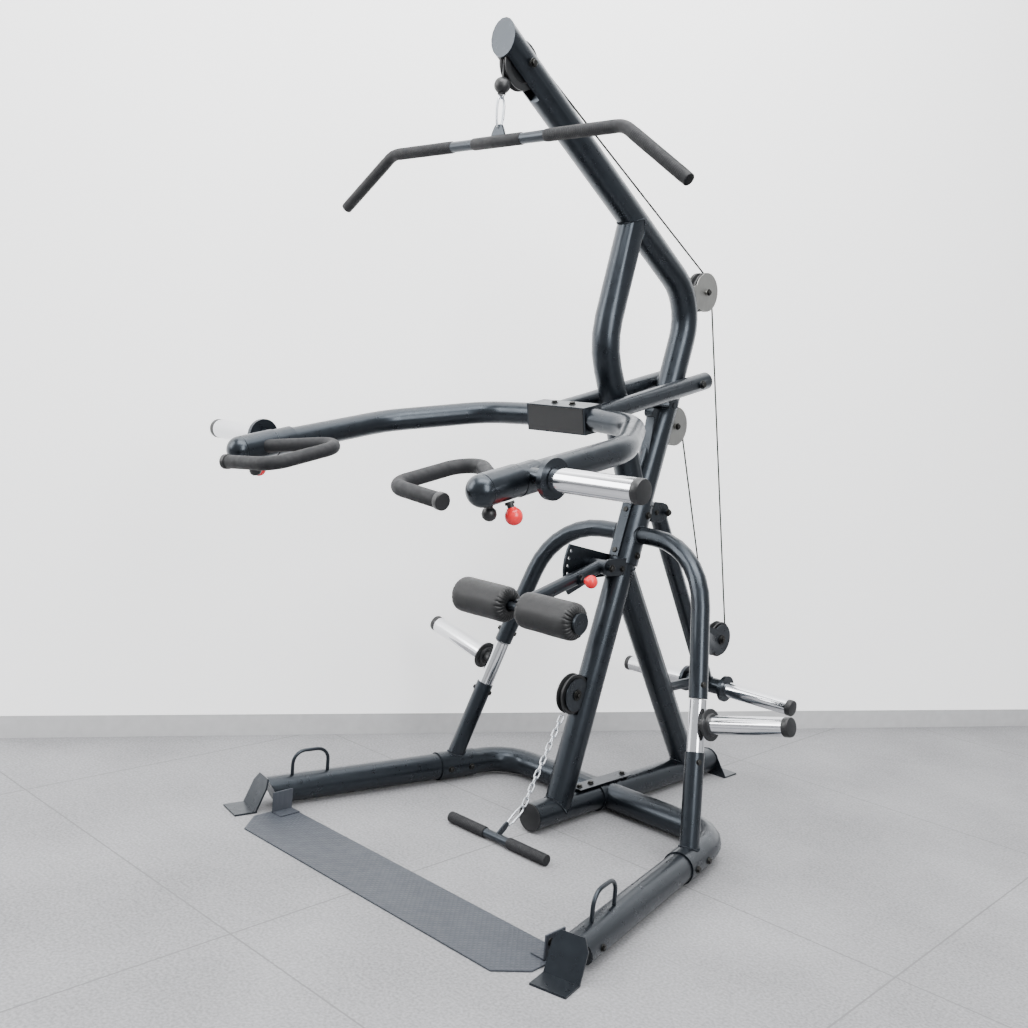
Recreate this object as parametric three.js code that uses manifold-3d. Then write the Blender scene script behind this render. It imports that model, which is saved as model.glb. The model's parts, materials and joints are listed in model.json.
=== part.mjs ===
// Plate-loaded leverage gym: a free-standing frame of bent round tube with a lat pull-down station,
// a swinging press arm, a leg hold-down and a low pulley.
// Millimetres, +Z up. X = 0 is the plane of symmetry, +X is the gym's right, the open end of the
// base points along -Y, and Z = 0 is the floor.

import * as THREE from "three";
import { mergeVertices } from "three/addons/utils/BufferGeometryUtils.js";
import Module from "manifold-3d";

const wasm = await Module();
wasm.setup();

// ---- driving dimensions -------------------------------------------------------------------

const GAP = 0.3;                 // air between two pieces that touch
const MAIN_R = 38;               // main frame tube, 76 mm across
const SLEEVE_R = 41.5;           // sleeves that join two lengths of main tube
const POST_R = 25;               // side posts, arches and the press arm's rear tubes
const INSERT_R = 22;             // bare chromed length between post and arch
const ARM_R = 30;                // press arm
const GRIP_R = 16;               // press handles
const HORN_R = 24;               // weight horns
const CABLE_R = 2.5;             // coated steel cable
const PULLEY_R = 56;             // cable pulleys
const TOP_PULLEY_R = 57;
const PULLEY_HALF = 11;          // half the thickness of a pulley
const WRAP_R = 48;               // radius of the cable's centre line on a pulley
const TOP_WRAP_R = 51;

const BEAM_Z = 42;               // height of the base tubes' axes
const BEAM_FRONT = -73;
const BEAM_REAR = 784.7;
const CROSS_Y = 246;             // rear cross tube

const POST_FOOT = new THREE.Vector3(427, 50, 69);        // where the side post meets its sleeve
const POST_RISE = new THREE.Vector3(-0.21, 0.247, 1);    // the post's lean, per unit of height
const INSERT_LOW = 299;
const INSERT_HIGH = 429;
const LEG_FRONT = new THREE.Vector3(553, -559, BEAM_Z);  // front end of the splayed leg's axis

const COLUMN_FOOT = new THREE.Vector3(0, 35, 50);
const COLUMN_LEAN = 0.287;       // the column leans back this much per unit of height
const COLLAR_LOW = 722;
const COLLAR_HIGH = 890;

const BOOM_TIP = new THREE.Vector3(0, -413, 1976);
const BOOM_TURN = new THREE.Vector3(0, 437, 1478);
const BOOM_WAIST = new THREE.Vector3(0, 345, 1130);

const TOP_PULLEY = new THREE.Vector3(0, -352, 1929);
const UPPER_PULLEY = new THREE.Vector3(0, 486, 1510);
const MID_PULLEY = new THREE.Vector3(0, 397, 1116);
const LEVER_PULLEY = new THREE.Vector3(0, 766, 447);
const LOW_PULLEY = new THREE.Vector3(0, 57, 366);

const ARM_PIVOT = new THREE.Vector3(0, 389, 1240);
const ARM_TILT = 0.2183;         // the press arm's plane slopes down to the front by this angle
const ARM_HALF = 410;            // half the distance between the two press arms
const YOKE_FRONT = 518;          // front face of the yoke box, from the pivot
const YOKE_DEPTH = 67;
const YOKE_HALF = 98;
const TWIN_HALF = 72;            // half the distance between the press arm's two rear tubes

const LEVER_PIVOT = new THREE.Vector3(0, 368, 868);
const LEVER_FOOT = new THREE.Vector3(0, 729, 305);

const HOLD_PIVOT = new THREE.Vector3(0, 127, 718);
const ROLLER_AXIS = new THREE.Vector3(0, -198, 629);
const ROLLER_R = 48;
const SETTING_R = 105;           // from the hold-down's pivot to its row of setting holes

const BAR_Y = -403;              // the lat bar hangs in this plane
const BAR_Z = 1745;
const STOP_Z = 1871;             // the ball that stops the cable under the top pulley

// ---- materials ----------------------------------------------------------------------------

function material(colour, roughness, metalness) {
  return new THREE.MeshStandardMaterial({ color: colour, roughness, metalness });
}

const COATED = () => material(0x24262b, 0.45, 0.3);      // satin black powder coat
const CHROME = () => material(0xd9dbdd, 0.12, 1.0);
const BLACK_PLASTIC = () => material(0x17181a, 0.5, 0.0);
const RED_PLASTIC = () => material(0xe0262c, 0.35, 0.0);
const PALE_STEEL = () => material(0x9a9a96, 0.45, 0.6);
const ZINC = () => material(0xc6cace, 0.3, 0.9);
const RUBBER = () => material(0x1d1e20, 0.8, 0.0);
const VINYL = () => material(0x1c1d20, 0.6, 0.0);
const TREAD = () => material(0x3c4149, 0.6, 0.2);
const JACKET = () => material(0x101113, 0.5, 0.0);

// ---- solids -------------------------------------------------------------------------------

const X_AXIS = new THREE.Vector3(1, 0, 0);
const Y_AXIS = new THREE.Vector3(0, 1, 0);
const Z_AXIS = new THREE.Vector3(0, 0, 1);

function vec(x, y, z) {
  return new THREE.Vector3(x, y, z);
}

// A closed three.js geometry, placed by a matrix, as a solid that can be joined and cut.
function solid(geometry, matrix = new THREE.Matrix4()) {
  const bare = geometry.clone();
  bare.deleteAttribute("normal");
  bare.deleteAttribute("uv");
  const merged = mergeVertices(bare, 1e-4).applyMatrix4(matrix);
  const vertProperties = new Float32Array(merged.attributes.position.array);
  const triVerts = new Uint32Array(merged.index.array);
  return new wasm.Manifold(new wasm.Mesh({ numProp: 3, vertProperties, triVerts }));
}

function geometryOf(body) {
  const mesh = body.getMesh();
  const geometry = new THREE.BufferGeometry();
  geometry.setAttribute("position", new THREE.BufferAttribute(mesh.vertProperties, 3));
  geometry.setIndex(new THREE.BufferAttribute(mesh.triVerts, 1));
  geometry.computeVertexNormals();
  return geometry;
}

function part(name, body, look) {
  const mesh = new THREE.Mesh(geometryOf(body), look());
  mesh.name = name;
  return mesh;
}

function join(...bodies) {
  return bodies.reduce((sum, next) => sum.add(next));
}

function cut(body, ...tools) {
  return tools.reduce((rest, tool) => rest.subtract(tool), body);
}

// Matrix that puts a shape's own Y axis along the direction from a to b, centred between them.
function alongMatrix(a, b) {
  const direction = b.clone().sub(a).normalize();
  const turn = new THREE.Quaternion().setFromUnitVectors(Y_AXIS, direction);
  const middle = a.clone().add(b).multiplyScalar(0.5);
  return new THREE.Matrix4().compose(middle, turn, vec(1, 1, 1));
}

function rod(a, b, radius, segments = 16, endRadius = radius) {
  const geometry = new THREE.CylinderGeometry(endRadius, radius, a.distanceTo(b), segments);
  return solid(geometry, alongMatrix(a, b));
}

function ball(centre, radius, segments = 20) {
  const geometry = new THREE.SphereGeometry(radius, segments, segments / 2);
  return solid(geometry, new THREE.Matrix4().setPosition(centre));
}

function block(centre, width, depth, height, tilt = 0) {
  const matrix = new THREE.Matrix4().makeRotationX(tilt).setPosition(centre);
  return solid(new THREE.BoxGeometry(width, depth, height), matrix);
}

// A plate in a plane of constant X, drawn as [y, z] points, between x and x + thickness.
function sidePlate(outline, x, thickness) {
  const shape = new THREE.Shape(outline.map(([y, z]) => new THREE.Vector2(y, z)));
  const geometry = new THREE.ExtrudeGeometry(shape, { depth: thickness, bevelEnabled: false });
  const matrix = new THREE.Matrix4().makeBasis(Y_AXIS, Z_AXIS, X_AXIS).setPosition(x, 0, 0);
  return solid(geometry, matrix);
}

// A plate drawn as [x, y] points, between z and z + thickness.
function floorPlate(outline, z, thickness) {
  const shape = new THREE.Shape(outline.map(([x, y]) => new THREE.Vector2(x, y)));
  const geometry = new THREE.ExtrudeGeometry(shape, { depth: thickness, bevelEnabled: false });
  return solid(geometry, new THREE.Matrix4().setPosition(0, 0, z));
}

// A plate drawn as [x, z] points, between y and y + thickness.
function frontPlate(outline, y, thickness) {
  const shape = new THREE.Shape(outline.map(([x, z]) => new THREE.Vector2(x, z)));
  const geometry = new THREE.ExtrudeGeometry(shape, { depth: thickness, bevelEnabled: false });
  const matrix = new THREE.Matrix4().makeBasis(X_AXIS, Z_AXIS, vec(0, -1, 0));
  matrix.setPosition(0, y + thickness, 0);
  return solid(geometry, matrix);
}

function circlePoints(cy, cz, radius, from, to, steps) {
  const points = [];
  for (let i = 0; i <= steps; i += 1) {
    const angle = from + ((to - from) * i) / steps;
    points.push([cy + radius * Math.cos(angle), cz + radius * Math.sin(angle)]);
  }
  return points;
}

// The centre line of a bent tube: straight runs between corners, each corner rounded to its own
// radius. Stations stand only where the line turns, so straight runs stay single facets.
class BentLine extends THREE.Curve {
  constructor(corners, radii, turnStep = 0.28) {
    super();
    this.stations = [];
    const last = corners.length - 1;
    const start = corners[1].clone().sub(corners[0]).normalize();
    this.stations.push({ point: corners[0], tangent: start });
    for (let i = 1; i < last; i += 1) {
      this.addBend(corners[i - 1], corners[i], corners[i + 1], radii[i - 1], turnStep);
    }
    const end = corners[last].clone().sub(corners[last - 1]).normalize();
    this.addStation(corners[last], end);
  }

  addStation(point, tangent) {
    const previous = this.stations[this.stations.length - 1];
    if (previous.point.distanceTo(point) > 0.5) this.stations.push({ point, tangent });
  }

  addBend(before, corner, after, radius, turnStep) {
    const inward = corner.clone().sub(before).normalize();
    const outward = after.clone().sub(corner).normalize();
    const turn = inward.angleTo(outward);
    const reach = radius * Math.tan(turn / 2);
    const centre = outward.clone().sub(inward).normalize();
    centre.multiplyScalar(radius / Math.cos(turn / 2)).add(corner);
    const axis = inward.clone().cross(outward).normalize();
    const steps = Math.max(2, Math.ceil(turn / turnStep));
    const first = corner.clone().addScaledVector(inward, -reach).sub(centre);
    for (let i = 0; i <= steps; i += 1) {
      const angle = (turn * i) / steps;
      const point = first.clone().applyAxisAngle(axis, angle).add(centre);
      this.addStation(point, inward.clone().applyAxisAngle(axis, angle));
    }
  }

  get steps() {
    return this.stations.length - 1;
  }

  stationAt(u) {
    return this.stations[Math.round(u * this.steps)];
  }

  getPoint(u, target = new THREE.Vector3()) {
    return target.copy(this.stationAt(u).point);
  }

  getPointAt(u, target) {
    return this.getPoint(u, target);
  }

  getTangentAt(u, target = new THREE.Vector3()) {
    return target.copy(this.stationAt(u).tangent);
  }
}

function roundShape(radius, segments) {
  const points = [];
  for (let i = 0; i < segments; i += 1) {
    const angle = (2 * Math.PI * i) / segments;
    points.push(new THREE.Vector2(radius * Math.cos(angle), radius * Math.sin(angle)));
  }
  return new THREE.Shape(points);
}

function bentTube(corners, radii, radius, segments = 20, turnStep = 0.28) {
  const line = new BentLine(corners, radii, turnStep);
  const options = { steps: line.steps, extrudePath: line, bevelEnabled: false };
  return solid(new THREE.ExtrudeGeometry(roundShape(radius, segments), options));
}

// A solid of revolution about an axis along X, from [radius, x] points.
function turnedAlongX(profile, centre, segments = 22) {
  const points = profile.map(([radius, x]) => new THREE.Vector2(radius, x));
  const matrix = new THREE.Matrix4().makeBasis(Y_AXIS, X_AXIS, vec(0, 0, -1)).setPosition(centre);
  return solid(new THREE.LatheGeometry(points, segments), matrix);
}

function mirrored(body) {
  return body.mirror([1, 0, 0]);
}

function columnPoint(z) {
  return vec(0, COLUMN_FOOT.y + COLUMN_LEAN * (z - COLUMN_FOOT.z), z);
}

function postPoint(z) {
  return POST_FOOT.clone().addScaledVector(POST_RISE, z - POST_FOOT.z);
}

const COLUMN_DIRECTION = vec(0, COLUMN_LEAN, 1).normalize();
const LEG_DIRECTION = LEG_FRONT.clone().sub(vec(POST_FOOT.x, POST_FOOT.y, BEAM_Z)).normalize();
const LEG_ROOT = vec(POST_FOOT.x, POST_FOOT.y, BEAM_Z);
const SLEEVE_HALF = 63;

const FOOT_SLANT = 0.42;         // the front foot plates lean back by this angle
const FOOT_SIDE = vec(-LEG_DIRECTION.y, LEG_DIRECTION.x, 0);
const FOOT_NORMAL = LEG_DIRECTION.clone().multiplyScalar(Math.cos(FOOT_SLANT))
  .addScaledVector(Z_AXIS, Math.sin(FOOT_SLANT));
const FOOT_EDGE = LEG_FRONT.clone().addScaledVector(LEG_DIRECTION, 6);

// ---- base ---------------------------------------------------------------------------------

function centreBeam() {
  return rod(vec(0, BEAM_FRONT, BEAM_Z), vec(0, BEAM_REAR, BEAM_Z), MAIN_R, 18);
}

// Upright plate that closes the beam's rear end, flared to the floor, with a tab behind it.
function rearFoot() {
  const half = 72;
  const arch = circlePoints(0, BEAM_Z, 40, 0.35, Math.PI - 0.35, 8);
  const outline = [[-half, 0], [half, 0], [half, 5], ...arch, [-half, 5]];
  const upright = frontPlate(outline, BEAM_REAR + GAP, 5);
  const tab = block(vec(0, BEAM_REAR + 37.5, 2.5), 2 * half, 66, 5);
  return join(upright, tab);
}

// Rear cross tube: two bent halves on a sleeve that the centre beam passes through.
function baseCross() {
  const sleeve = rod(vec(0, CROSS_Y - 46, BEAM_Z), vec(0, CROSS_Y + 46, BEAM_Z), SLEEVE_R, 24);
  const bore = rod(vec(0, CROSS_Y - 80, BEAM_Z), vec(0, CROSS_Y + 80, BEAM_Z), MAIN_R + GAP, 24);
  const start = LEG_ROOT.clone().addScaledVector(LEG_DIRECTION, -SLEEVE_HALF - GAP);
  const run = (CROSS_Y - start.y) / -LEG_DIRECTION.y;
  const corner = start.clone().addScaledVector(LEG_DIRECTION, -run);
  const bend = bentTube([start, corner, vec(0, CROSS_Y, BEAM_Z)], [115], MAIN_R, 18);
  const strip = block(vec(0, 226, BEAM_Z + SLEEVE_R + 1.2), 44, 236, 3);
  return cut(join(sleeve, bend, mirrored(bend), strip), bore);
}

// Sleeve on the splayed leg with the raked side post welded to it.
function legSleeve() {
  const front = LEG_ROOT.clone().addScaledVector(LEG_DIRECTION, SLEEVE_HALF);
  const back = LEG_ROOT.clone().addScaledVector(LEG_DIRECTION, -SLEEVE_HALF);
  const post = rod(postPoint(BEAM_Z + 10), postPoint(INSERT_LOW - GAP), POST_R);
  return join(rod(back, front, SLEEVE_R, 24), post);
}

// Low rail-shaped band hook on the leg: a thin bent rod with both ends in the tube.
function bandHook() {
  const half = 53;
  const middle = vec(523, -418, 0);
  const end = (along, z) => middle.clone().addScaledVector(LEG_DIRECTION, along).setZ(z);
  const corners = [end(-half, 70), end(-half, 144), end(half, 144), end(half, 70)];
  return bentTube(corners, [34, 34], 5, 10, 0.35);
}

function leg() {
  const back = LEG_ROOT.clone().addScaledVector(LEG_DIRECTION, SLEEVE_HALF + GAP);
  const reach = LEG_FRONT.clone().addScaledVector(LEG_DIRECTION, 60);
  const tube = rod(back, reach, MAIN_R, 18);
  const slant = block(vec(0, 0, 0), 200, 200, 400);
  const turn = new THREE.Matrix4().makeRotationZ(Math.atan2(-LEG_DIRECTION.x, LEG_DIRECTION.y));
  const away = FOOT_NORMAL.clone().multiplyScalar(100).add(FOOT_EDGE);
  const placed = slant.transform(turn.clone().multiply(
    new THREE.Matrix4().makeRotationX(-FOOT_SLANT)).setPosition(away).elements);
  return join(cut(tube, placed), bandHook());
}

// Slanted plate on the leg's cut end, folded at the floor into a bolted-down tab.
function frontFoot() {
  const up = Z_AXIS.clone().multiplyScalar(Math.cos(FOOT_SLANT))
    .addScaledVector(LEG_DIRECTION, -Math.sin(FOOT_SLANT));
  const basis = new THREE.Matrix4().makeBasis(FOOT_SIDE, up, FOOT_NORMAL);
  const drop = (FOOT_EDGE.z - 1) / Math.cos(FOOT_SLANT);
  const outline = [[-42, -drop], [42, -drop], [42, 22], [28, 46], [-28, 46], [-42, 22]];
  const shape = new THREE.Shape(outline.map(([x, y]) => new THREE.Vector2(x, y)));
  const plate = new THREE.ExtrudeGeometry(shape, { depth: 5, bevelEnabled: false });
  const face = FOOT_EDGE.clone().addScaledVector(FOOT_NORMAL, GAP);
  const slanted = solid(plate, basis.clone().setPosition(face));
  const fold = face.clone().addScaledVector(up, -drop);
  const tabMiddle = fold.clone().addScaledVector(LEG_DIRECTION, 29).setZ(2.5);
  const tabTurn = new THREE.Matrix4().makeBasis(FOOT_SIDE, LEG_DIRECTION, Z_AXIS.clone().negate());
  const tab = solid(new THREE.BoxGeometry(84, 62, 5), tabTurn.setPosition(tabMiddle));
  const floor = block(vec(500, -600, -50), 600, 400, 100);
  return cut(join(slanted, tab), floor);
}

// Foot-rest plate on the floor between the legs, with a bolted ear against each leg.
function treadPlate() {
  const outline = [[-500, -498], [500, -498], [500, -610], [445, -676], [-445, -676], [-500, -610]];
  const plate = floorPlate(outline, 0, 4);
  const ear = block(vec(488, -530, 31), 5, 62, 58);
  const fold = block(vec(470, -530, 4.5), 40, 62, 5);
  const side = join(ear, fold);
  return join(plate, side, mirrored(side));
}

// ---- upright frame ------------------------------------------------------------------------

// Slot through a tube for a pulley and its cable.
function pulleySlot(centre, radius) {
  return rod(centre.clone().setX(-14), centre.clone().setX(14), radius + 5, 28);
}

const CABLE_BORE = [vec(0, 351.3, 1130.6), vec(0, 102.7, 351.4)];

function cableBore() {
  const [high, low] = CABLE_BORE;
  const over = high.clone().sub(low).normalize().multiplyScalar(60);
  return rod(low.clone().sub(over), high.clone().add(over), CABLE_R + 4, 12);
}

function column() {
  const tube = rod(columnPoint(BEAM_Z), columnPoint(COLLAR_LOW - GAP), MAIN_R, 18);
  const beam = rod(vec(0, -300, BEAM_Z), vec(0, 400, BEAM_Z), MAIN_R + GAP, 24);
  return cut(tube, beam, pulleySlot(LOW_PULLEY, PULLEY_R), cableBore());
}

function rearStrut() {
  const high = vec(0, 214, 720);
  const low = vec(0, 660, BEAM_Z);
  const tube = rod(low, high, MAIN_R, 18);
  const beam = rod(vec(0, 400, BEAM_Z), vec(0, 900, BEAM_Z), MAIN_R + GAP, 24);
  const front = rod(columnPoint(300), columnPoint(1000), MAIN_R + GAP, 24);
  const above = block(columnPoint(COLLAR_LOW - GAP).addScaledVector(COLUMN_DIRECTION, 100),
    300, 400, 200, -Math.atan(COLUMN_LEAN));
  const forward = vec(0, -1, COLUMN_LEAN).normalize();
  const ahead = block(columnPoint(600).addScaledVector(forward, 196), 300, 400, 600,
    -Math.atan(COLUMN_LEAN));
  const stop = vec(0, 665.9, 320.8);
  const bumper = join(rod(vec(0, 474, 322), stop, 15, 16), ball(stop, 19, 16));
  return cut(join(tube, bumper), beam, front, above, ahead);
}

// Thick sleeve at the column's head, where the boom and both side arches end.
function collar() {
  const low = columnPoint(COLLAR_LOW);
  const high = columnPoint(COLLAR_HIGH);
  return cut(rod(low, high, MAIN_R + 6, 28), cableBore());
}

function sideArch() {
  const root = columnPoint(806).setX(MAIN_R + 4);
  const line = [root, vec(258, 230, 804), postPoint(INSERT_HIGH - 10)];
  const tube = bentTube(line, [210], POST_R, 16, 0.2);
  const sleeve = rod(columnPoint(600), columnPoint(1000), MAIN_R + 6 + GAP, 28);
  const below = rod(postPoint(INSERT_HIGH - 100), postPoint(INSERT_HIGH + GAP), 60);
  return cut(tube, sleeve, below);
}

// Bare chromed insert between post and arch, with the plate storage horn standing out of it.
function storageHorn() {
  const insert = rod(postPoint(INSERT_LOW), postPoint(INSERT_HIGH), INSERT_R);
  const root = postPoint(366);
  const tip = vec(631, 122, 431);
  const direction = tip.clone().sub(root).normalize();
  const flangeIn = root.clone().addScaledVector(direction, 34);
  const flangeOut = root.clone().addScaledVector(direction, 46);
  const stub = rod(root, flangeIn, 17, 16);
  const flange = rod(flangeIn, flangeOut, 41, 28);
  return join(insert, stub, flange, rod(flangeIn, tip, HORN_R, 24));
}

function boomTube(radius) {
  const foot = columnPoint(COLLAR_HIGH - 40);
  const line = [BOOM_TIP.clone().add(vec(0, -60, 35.2)), BOOM_TURN, BOOM_WAIST, foot];
  return bentTube(line, [150, 500], radius, 18, 0.2);
}

// One weldment: the boom that carries the pulleys and the shorter tube that props it in front.
function boom() {
  const tube = boomTube(MAIN_R);
  const prop = bentTube([vec(0, 128, 1660), vec(0, 50, 1322), vec(0, 262, 880)], [200], MAIN_R, 18);
  const past = block(vec(0, BOOM_TIP.y - 100, 2000), 200, 200, 400);
  const below = block(columnPoint(COLLAR_HIGH + GAP).addScaledVector(COLUMN_DIRECTION, -100),
    300, 400, 200, -Math.atan(COLUMN_LEAN));
  const slotFront = BOOM_TIP.y + 3.2;
  const slotBack = TOP_PULLEY.y + 62;
  const slotMiddle = TOP_PULLEY.clone().setY((slotFront + slotBack) / 2);
  const topSlot = block(slotMiddle, 28, slotBack - slotFront, 240);
  const midSlot = pulleySlot(MID_PULLEY, PULLEY_R);
  const pivotHole = rod(ARM_PIVOT.clone().setX(-60), ARM_PIVOT.clone().setX(60), 10.8, 16);
  const topHole = axlePin(TOP_PULLEY, 60, 6.4);
  const body = join(tube, prop);
  return cut(body, past, below, topSlot, midSlot, cableBore(), pivotHole, topHole);
}

// Two round guard plates, one each side of a pulley.
function axleDiscs(centre, radius) {
  const near = centre.clone().setX(PULLEY_HALF + 4);
  const far = centre.clone().setX(PULLEY_HALF + 7);
  const disc = rod(near, far, radius, 28);
  return join(disc, mirrored(disc));
}

function pulleyGuard(centre) {
  return join(axlePin(centre, PULLEY_HALF + 13), axleDiscs(centre, 56));
}

function upperGuard() {
  const outline = [[486, 1550], [486, 1470], [405, 1440], [380, 1500]];
  const arms = [-PULLEY_HALF - 7, PULLEY_HALF + 4].map((x) => sidePlate(outline, x, 3));
  const web = block(vec(0, 416, 1500), 2 * PULLEY_HALF + 14, 14, 20);
  return cut(join(pulleyGuard(UPPER_PULLEY), ...arms, web), boomTube(MAIN_R + GAP));
}

function midGuard() {
  return cut(pulleyGuard(MID_PULLEY), boomTube(MAIN_R + GAP));
}

function pulley(name, centre, radius, wrap) {
  const bed = wrap - CABLE_R - 1;
  const profile = [
    [6.4, -PULLEY_HALF], [radius, -PULLEY_HALF], [radius, -6], [bed, -3.5],
    [bed, 3.5], [radius, 6], [radius, PULLEY_HALF], [6.4, PULLEY_HALF], [6.4, -PULLEY_HALF],
  ];
  const wheel = turnedAlongX(profile, vec(0, 0, 0));
  const mesh = part(name, wheel, BLACK_PLASTIC);
  mesh.position.copy(centre);
  return mesh;
}

function axlePin(centre, half, radius = 6) {
  return rod(centre.clone().setX(-half), centre.clone().setX(half), radius, 12);
}

// ---- press arm ----------------------------------------------------------------------------
// Built in its own plane: the pivot is the origin, y runs back along the arm, z is square to it.

const YOKE_Y = -YOKE_FRONT + YOKE_DEPTH / 2;
const RING_FRONT = 1100;         // where the fixed arm ends and the turning sleeve starts
const RING_R = 33;
const HORN_Y = -1077;
const HORN_Z = 6;
const HORN_X = 492;
const YOKE_Z = -14;             // the yoke box sits a little below the arm's plane

// Box with a blank badge face, the two rear tubes, the pivot pin and the bar that lands on the rest.
function pressYoke() {
  const box = block(vec(0, YOKE_Y, YOKE_Z), 2 * YOKE_HALF, YOKE_DEPTH, 70);
  const tube = rod(vec(TWIN_HALF, YOKE_Y, YOKE_Z), vec(TWIN_HALF, 52, 1.6), POST_R, 16);
  const spacer = rod(vec(MAIN_R + 1, 0, 0), vec(TWIN_HALF, 0, 0), 17, 16);
  const lug = block(vec(TWIN_HALF - 6, -95, -32), 8, 30, 44);
  const side = join(tube, spacer, lug);
  const landing = rod(vec(-TWIN_HALF, -95, -46), vec(TWIN_HALF, -95, -46), 9, 12);
  return join(box, side, mirrored(side), axlePin(vec(0, 0, 0), 104, 10), landing);
}

function pressArm() {
  const line = [
    vec(YOKE_HALF - 20, YOKE_Y + 4, YOKE_Z), vec(252, -514, YOKE_Z), vec(404, -750, -9),
    vec(ARM_HALF, 2 - RING_FRONT, -2),
  ];
  const tube = bentTube(line, [140, 170], ARM_R, 16, 0.25);
  const ring = rod(vec(ARM_HALF, -1047, -2), vec(ARM_HALF, -RING_FRONT, -2), RING_R, 20);
  const stub = rod(vec(ARM_HALF, HORN_Y, HORN_Z), vec(480, HORN_Y, HORN_Z), 17, 14);
  const flange = rod(vec(480, HORN_Y, HORN_Z), vec(HORN_X, HORN_Y, HORN_Z), 42, 24);
  const box = block(vec(0, YOKE_Y, YOKE_Z), 2 * (YOKE_HALF + GAP), 300, 300);
  return cut(join(tube, ring, stub, flange), box);
}

function pressHorn() {
  return rod(vec(HORN_X + 1, HORN_Y, HORN_Z), vec(701, HORN_Y + 4, HORN_Z), HORN_R, 20);
}

// Turning sleeve with a domed end, the bent handle on its inner side and a clamp knob below it.
function handle() {
  const back = vec(ARM_HALF, -RING_FRONT - GAP, 0);
  const front = vec(ARM_HALF, -1194, 0);
  const corners = [
    vec(388, -1138, 0), vec(208, -1005, 0), vec(202, -1245, -3), vec(373, -1262, -11),
  ];
  const grip = bentTube(corners, [46, 46], GRIP_R, 12, 0.32);
  const stem = rod(vec(402, -1168, -28), vec(398, -1168, -44), 7, 10);
  const knob = ball(vec(397, -1168, -54), 15, 14);
  return join(rod(back, front, RING_R, 20), ball(front, RING_R - 0.2, 20), grip, stem, knob);
}

// Spring pin with a ball knob; its tip sits under the sleeve.
function popPin(name, tip, direction) {
  const shank = rod(vec(0, GAP, 0), vec(0, 20, 0), 7, 10);
  const knob = ball(vec(0, 30, 0), 18, 16);
  const mesh = part(name, join(shank, knob), RED_PLASTIC);
  mesh.position.copy(tip);
  mesh.quaternion.setFromUnitVectors(Y_AXIS, direction.clone().normalize());
  return mesh;
}

function armRest() {
  const post = block(vec(0, 300, 1085), 30, 26, 150, -0.12);
  const head = rod(vec(-15, 294, 1150), vec(15, 294, 1150), 13, 16);
  return cut(join(post, head), boomTube(MAIN_R + GAP));
}

// ---- lat lever ----------------------------------------------------------------------------

const LEVER_FLANGE = 78;

function leverBracket() {
  const outline = [[300, 842], [296, 900], [352, 896], [380, 880], [380, 856], [350, 838]];
  const cheeks = [-33, 27].map((x) => sidePlate(outline, x, 6));
  const web = block(vec(0, 322, 868), 62, 8, 40);
  const round = rod(columnPoint(700), columnPoint(COLLAR_HIGH + 40), MAIN_R + 6 + GAP, 28);
  return cut(join(...cheeks, web, axlePin(LEVER_PIVOT, 42, 8)), round, boomTube(MAIN_R + GAP));
}

function latLever() {
  const tube = rod(LEVER_PIVOT, LEVER_FOOT, POST_R);
  const boss = rod(LEVER_PIVOT.clone().setX(-26), LEVER_PIVOT.clone().setX(26), POST_R, 24);
  const bore = axlePin(LEVER_PIVOT, 60, 8.4);
  const across = rod(LEVER_FOOT.clone().setX(-70), LEVER_FOOT.clone().setX(70), POST_R);
  const flange = rod(LEVER_FOOT.clone().setX(67), LEVER_FOOT.clone().setX(LEVER_FLANGE), 41, 28);
  const outline = [[590, 520], [766, 478], [794, 455], [794, 435], [766, 415], [660, 400]];
  const cheeks = [-PULLEY_HALF - 7, PULLEY_HALF + 4].map((x) => sidePlate(outline, x, 3));
  const body = join(tube, boss, across, flange, mirrored(flange), ...cheeks);
  return join(cut(body, bore), axlePin(LEVER_PULLEY, 24), axleDiscs(LEVER_PULLEY, 50));
}

function leverHorn() {
  const root = LEVER_FOOT.clone().setX(LEVER_FLANGE + GAP);
  return rod(root, LEVER_FOOT.clone().add(vec(312, 0, -3)), HORN_R, 24);
}

// ---- leg hold-down ------------------------------------------------------------------------

// Two cheeks on the column; the left one widens into a quadrant with a row of setting holes.
function holdBracket() {
  const fan = circlePoints(HOLD_PIVOT.y, HOLD_PIVOT.z, 120, 2.6, 3.86, 8);
  const quadrant = sidePlate([[210, 742], [140, 756], ...fan, [150, 680], [200, 680]], -33, 6);
  const nose = circlePoints(HOLD_PIVOT.y, HOLD_PIVOT.z, 24, 1.8, 4.4, 6);
  const cheek = sidePlate([[210, 742], ...nose, [200, 694]], 27, 6);
  const holes = [2.72, 2.92, 3.12, 3.32, 3.52, 3.72].map((angle) => {
    const y = HOLD_PIVOT.y + SETTING_R * Math.cos(angle);
    const z = HOLD_PIVOT.z + SETTING_R * Math.sin(angle);
    return axlePin(vec(0, y, z), 60, 5);
  });
  const tube = rod(columnPoint(600), columnPoint(COLLAR_LOW - GAP), MAIN_R + GAP, 24);
  const head = rod(columnPoint(COLLAR_LOW), columnPoint(800), MAIN_R + 6 + GAP, 28);
  const body = join(quadrant, cheek, axlePin(HOLD_PIVOT, 42, 8));
  return cut(body, tube, head, ...holes);
}

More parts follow.
